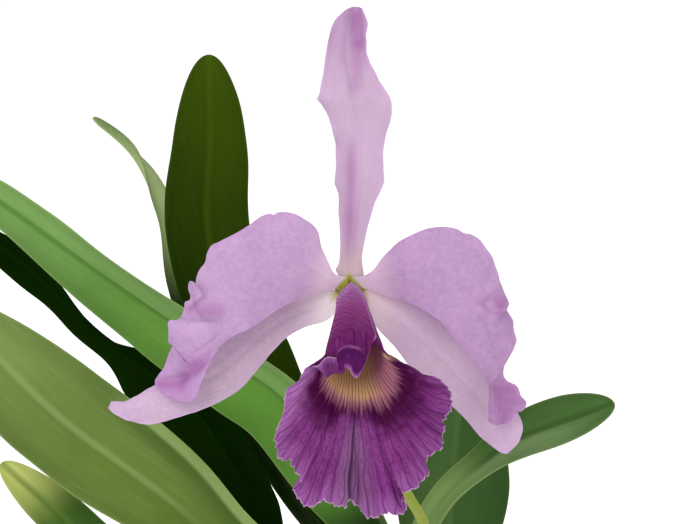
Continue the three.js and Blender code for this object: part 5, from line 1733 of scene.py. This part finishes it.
def column():
    foot = [[0, y, -3.4] for y in (2.9, 2.3, 1.7)]
    line = Line([*foot, *column_centre([0.16, 0.36, 0.56, 0.76, 0.88])])
    line = Line(from_bloom(line.points[:: Line.STEPS // 6]))

    def radius(t, angle):
        wings = 0.1 * smooth(t, 0.55, 0.95) * np.abs(np.cos(angle)) ** 6
        hollow = 0.12 * smooth(t, 0.5, 0.9) * hump(angle, 1.5 * math.pi, 0.5)
        ridges = 0.015 * np.cos(6 * angle)
        return column_radius(t) * (1 + wings - hollow + ridges)

    finish = waxy_finish("column", COLUMN_FOOT, COLUMN_TIP)
    place("flower_column", rod(line, 60, 44, radius, 0.92), finish, "column", "column")

    tip = from_bloom(column_centre(0.88))
    way = unit(tip - from_bloom(column_centre(0.84)))
    start = tip + way * GAP

    def cap(t, angle):
        lobes = 1 + 0.1 * np.abs(np.cos(angle)) - 0.12 * hump(angle, 0.5 * math.pi, 0.22) * t
        return cap_radius(t) * lobes * 0.95

    shape = rod(Line([start, start + 1.8 * way, start + 3.6 * way]), 26, 40, cap, 0.9)
    finish = waxy_finish("pollen cap", CAP_MAUVE, CAP_CREAM)
    place("pollen_cap", shape, finish, "anther_cap", "anther_cap")


# ---------------------------------------------------------------- flower stalk and its sheath

OVARY_FACE = SEPAL_BASE + TEPAL_THICKNESS / 2 + GAP
OVARY_FACE_RADIUS = 5.4
OVARY_RADIUS = 2.7
STALK_RADIUS = 1.8
# Each joint's place along the stalk, and its bract's length, width and the way that it faces.
STALK_JOINTS = [[0.5, 9, 4.4, 2.2], [0.76, 11, 4.6, -0.9]]
SHEATH_HEIGHT = 34
SHEATH_FLAT = 0.72
SHEATH_SLIT = 0.1  # half of the gap between its margins, in radians
sheath_radius = through([2.9, 3.3, 4.2, 4.6, 4.2, 3.4])

STALK_GREEN = srgb(150, 168, 48)
STALK_PALE = srgb(178, 190, 84)
STALK_RIB = srgb(118, 132, 44)
STALK_BLUSH = srgb(140, 84, 110)
OVARY_MAUVE = srgb(206, 190, 200)
OVARY_FOOT = srgb(206, 204, 120)
SHEATH_PALE = srgb(146, 158, 88)
SHEATH_DARK = srgb(112, 126, 62)


def stalk_line():
    behind = [
        [0, OVARY_FACE, -1.6],
        [0, OVARY_FACE + 1, -1.6],
        [0, OVARY_FACE + 2, -1.6],
        [0, 10, -3.6],
        [1, 14.5, -10],
        [4, 17, -23],
        [8, 17, -42],
        [14, 15, -60],
    ]
    down = [[12, -42, 258], [18, -43.5, 247], [20.5, -41, 228]]
    return Line([*from_bloom(behind), *down, stalk_foot()])


def stalk_foot():
    x, y, z = SHOOTS[FLOWERING]["top"]
    return np.array([x + 0.4, y - FLOWERING_OFFSET, z + GAP + 0.2])


def girth(t):
    ovary = (OVARY_RADIUS - STALK_RADIUS) * (1 - smooth(t, 0.1, 0.5))
    face = (OVARY_FACE_RADIUS - OVARY_RADIUS) * (1 - smooth(t, 0.01, 0.05))
    return STALK_RADIUS + ovary + face


def stalk_finish():
    made, p, shader = finish_of(
        "flower stalk",
        Roughness=0.4, Specular_IOR_Level=0.4, Subsurface_Weight=0.1, Subsurface_Scale=0.001,
    )
    along = p.mark("along")
    patches = p.clouds(4.0, 1.0)
    colour = p.mix(patches, STALK_GREEN, STALK_PALE)
    colour = p.mix(p.ease(along, 0.02, 0.12, 0.75, 0.0), colour, OVARY_MAUVE)
    colour = p.mix(p.ease(along, 0.004, 0.02, 1.0, 0.0), colour, OVARY_FOOT)
    ribs = p.veins(p.mark("around"), p.times(along, 4.0), count=12.0, width=0.5, wander=0.4)
    colour = p.mix(p.times(ribs, 0.25), colour, STALK_RIB)
    colour = p.mix(p.times(p.ease(patches, 0.6, 0.9), 0.3), colour, STALK_BLUSH)
    dress(p, shader, colour, None, p.cells(0.5), 0.05)
    return made


def bract(line, at, length, width, turn):
    """A small scale that wraps the stalk at a joint and points along it."""
    hh, aa = np.meshgrid(np.linspace(0, 1, 22), np.linspace(-1, 1, 17), indexing="ij")
    centre = line.at(np.full(hh.shape, at))
    tangent = -line.tangent(np.full(hh.shape, at))
    hint = np.array([math.cos(turn), math.sin(turn), 0.0])
    out = unit(hint - (tangent @ hint)[..., None] * tangent)
    side = np.cross(tangent, out)
    wide = width * np.sqrt(np.maximum(1 - hh**1.6, 0.002))
    angle = aa * wide / STALK_RADIUS * 0.6
    stand = girth(at) + 0.25 + 1.6 * hh**2
    middle = centre + tangent * (length * hh)[..., None]
    middle = middle + out * (stand * np.cos(angle))[..., None] + side * (stand * np.sin(angle))[..., None]
    thin = 0.16 * np.ones_like(hh)
    return blade(middle, thin, thin, {"across": aa * 0.5 + 0.5, "along": hh})


def spathe():
    """The flat sheath that the stalk grows through, open along one side."""
    up = unit(np.array([0.03, -0.06, 1.0]))
    side = np.array([1.0, 0, 0])
    half_turn = math.pi - SHEATH_SLIT
    hh, aa = np.meshgrid(np.linspace(0, 1, 60), np.linspace(-half_turn, half_turn, 73), indexing="ij")
    lips = 1 - 0.22 * smooth(hh, 0.6, 1.0) * (1 - np.cos(aa)) / 2 - 0.05 * np.abs(np.sin(aa))
    r = sheath_radius(hh) * (1 + 0.02 * np.cos(9 * aa))
    middle = stalk_foot() + up * (SHEATH_HEIGHT * hh * lips)[..., None]
    middle = middle + side * (r * np.cos(aa))[..., None]
    middle = middle + np.cross(up, side) * (SHEATH_FLAT * r * np.sin(aa))[..., None]
    thin = (0.32 - 0.2 * hh) / 2
    return blade(middle, thin, thin, {"across": aa / (2 * math.pi) + 0.5, "along": hh})


def stalk_and_sheath():
    line = stalk_line()

    def radius(t, angle):
        rib = 1 + 0.06 * (1 - np.minimum(t / 0.5, 1)) * np.cos(3 * angle)
        grooves = 0.04 * np.cos(12 * angle) * (1 - smooth(t, 0.05, 0.45))
        joints = sum(0.2 * hump(t, at, 0.006) for at, *_ in STALK_JOINTS)
        return girth(t) * (rib + grooves + joints)

    crowd = np.linspace(0, 1, 190) ** 1.15
    place("stalk", rod(line, 190, 40, radius, spacing=crowd), stalk_finish(), "stalk", "flower_stalk")
    green = papery_finish("flower sheath", SHEATH_PALE, SHEATH_DARK, 26.0)
    scales = [bract(line, *joint) for joint in STALK_JOINTS]
    place("stalk_bracts", joined(scales), green, "sheath")
    place("spathe", spathe(), green, "sheath", "flower_sheath")


# ---------------------------------------------------------------- studio

CAMERA_ELEVATION = math.radians(6)
CAMERA_DISTANCE = 480
CAMERA_RAISE = 6.93  # how far above the bloom's centre the camera aims
CAMERA_LENS = 74.8
CAMERA_SENSOR = 36
FLOOR_RADIUS = 9

FLOOR = srgb(248, 248, 246)
FLOOR_COOL = srgb(244, 244, 244)
BLACK = srgb(0, 0, 0)
WHITE = srgb(255, 255, 255)


def camera():
    data = bpy.data.cameras.new("camera")
    data.lens = CAMERA_LENS
    data.sensor_width = CAMERA_SENSOR
    data.clip_start = 0.01
    data.clip_end = 100
    seen = bpy.data.objects.new("camera", data)
    c, s = math.cos(CAMERA_ELEVATION), math.sin(CAMERA_ELEVATION)
    ahead, above = np.array([0, c, -s]), np.array([0, s, c])
    seen.location = (BLOOM_CENTRE + above * CAMERA_RAISE - ahead * CAMERA_DISTANCE) * MM
    seen.rotation_euler = (math.pi / 2 - CAMERA_ELEVATION, 0, 0)
    bpy.context.scene.collection.objects.link(seen)
    bpy.context.scene.camera = seen


def softbox(name, spot, aim, width, watts, tint=(1.0, 1.0, 1.0)):
    data = bpy.data.lights.new(name, "AREA")
    data.shape = "DISK"
    data.size = width
    data.energy = watts
    data.color = tint
    lamp = bpy.data.objects.new(name, data)
    lamp.location = spot
    way = np.array(aim, float) - np.array(spot, float)
    tip_up = math.acos(-way[2] / np.linalg.norm(way))
    lamp.rotation_euler = (tip_up, 0, math.atan2(way[1], way[0]) - math.pi / 2)
    bpy.context.scene.collection.objects.link(lamp)


def studio():
    scene = bpy.context.scene
    scene.view_settings.view_transform = "Standard"
    world = bpy.data.worlds.new("studio")
    world.use_nodes = True
    scene.world = world
    p = Paint(world.node_tree)
    seen = p.node("ShaderNodeLightPath").outputs["Is Camera Ray"]
    strength = p.ease(seen, 0.0, 1.0, 0.38, 1.05)
    p.feed(world.node_tree.nodes["Background"].inputs["Strength"], strength)
    p.feed(world.node_tree.nodes["Background"].inputs["Color"], WHITE)

    made, p, shader = finish_of("pale floor", Roughness=0.9, Specular_IOR_Level=0.1)
    tone = p.noise(p.place(), 400.0, 2.0)
    p.feed(shader.inputs["Base Color"], p.mix(p.times(tone, 0.1), FLOOR, FLOOR_COOL))
    away = p.node("ShaderNodeVectorMath", {0: p.place()}, operation="LENGTH").outputs["Value"]
    glow = p.ease(away, 250.0, 750.0, 0.12, 0.8)
    p.feed(shader.inputs["Emission Color"], p.mix(glow, BLACK, WHITE))
    shader.inputs["Emission Strength"].default_value = 1.0
    bpy.ops.mesh.primitive_circle_add(
        vertices=96, radius=FLOOR_RADIUS, fill_type="NGON", location=(0, 0, -0.0004)
    )
    floor = bpy.context.object
    floor.name = "pale_floor"
    floor.data.materials.append(made)

    middle = BLOOM_CENTRE * MM
    softbox("key", (-0.6, -1.35, 1.15), middle, 1.0, 9, (1.0, 0.99, 0.97))
    softbox("fill", (0.9, -1.3, 0.25), middle, 1.2, 4)
    softbox("top", (0.2, 0.5, 1.6), middle, 1.0, 6)


# ---------------------------------------------------------------- the plant

camera()
studio()
clay_pot()
bark()
shoots()
rhizome()
roots()
perianth()
place("frilled_lip", lip_sheet(), lip_finish(), "lip", "lip")
column()
stalk_and_sheath()
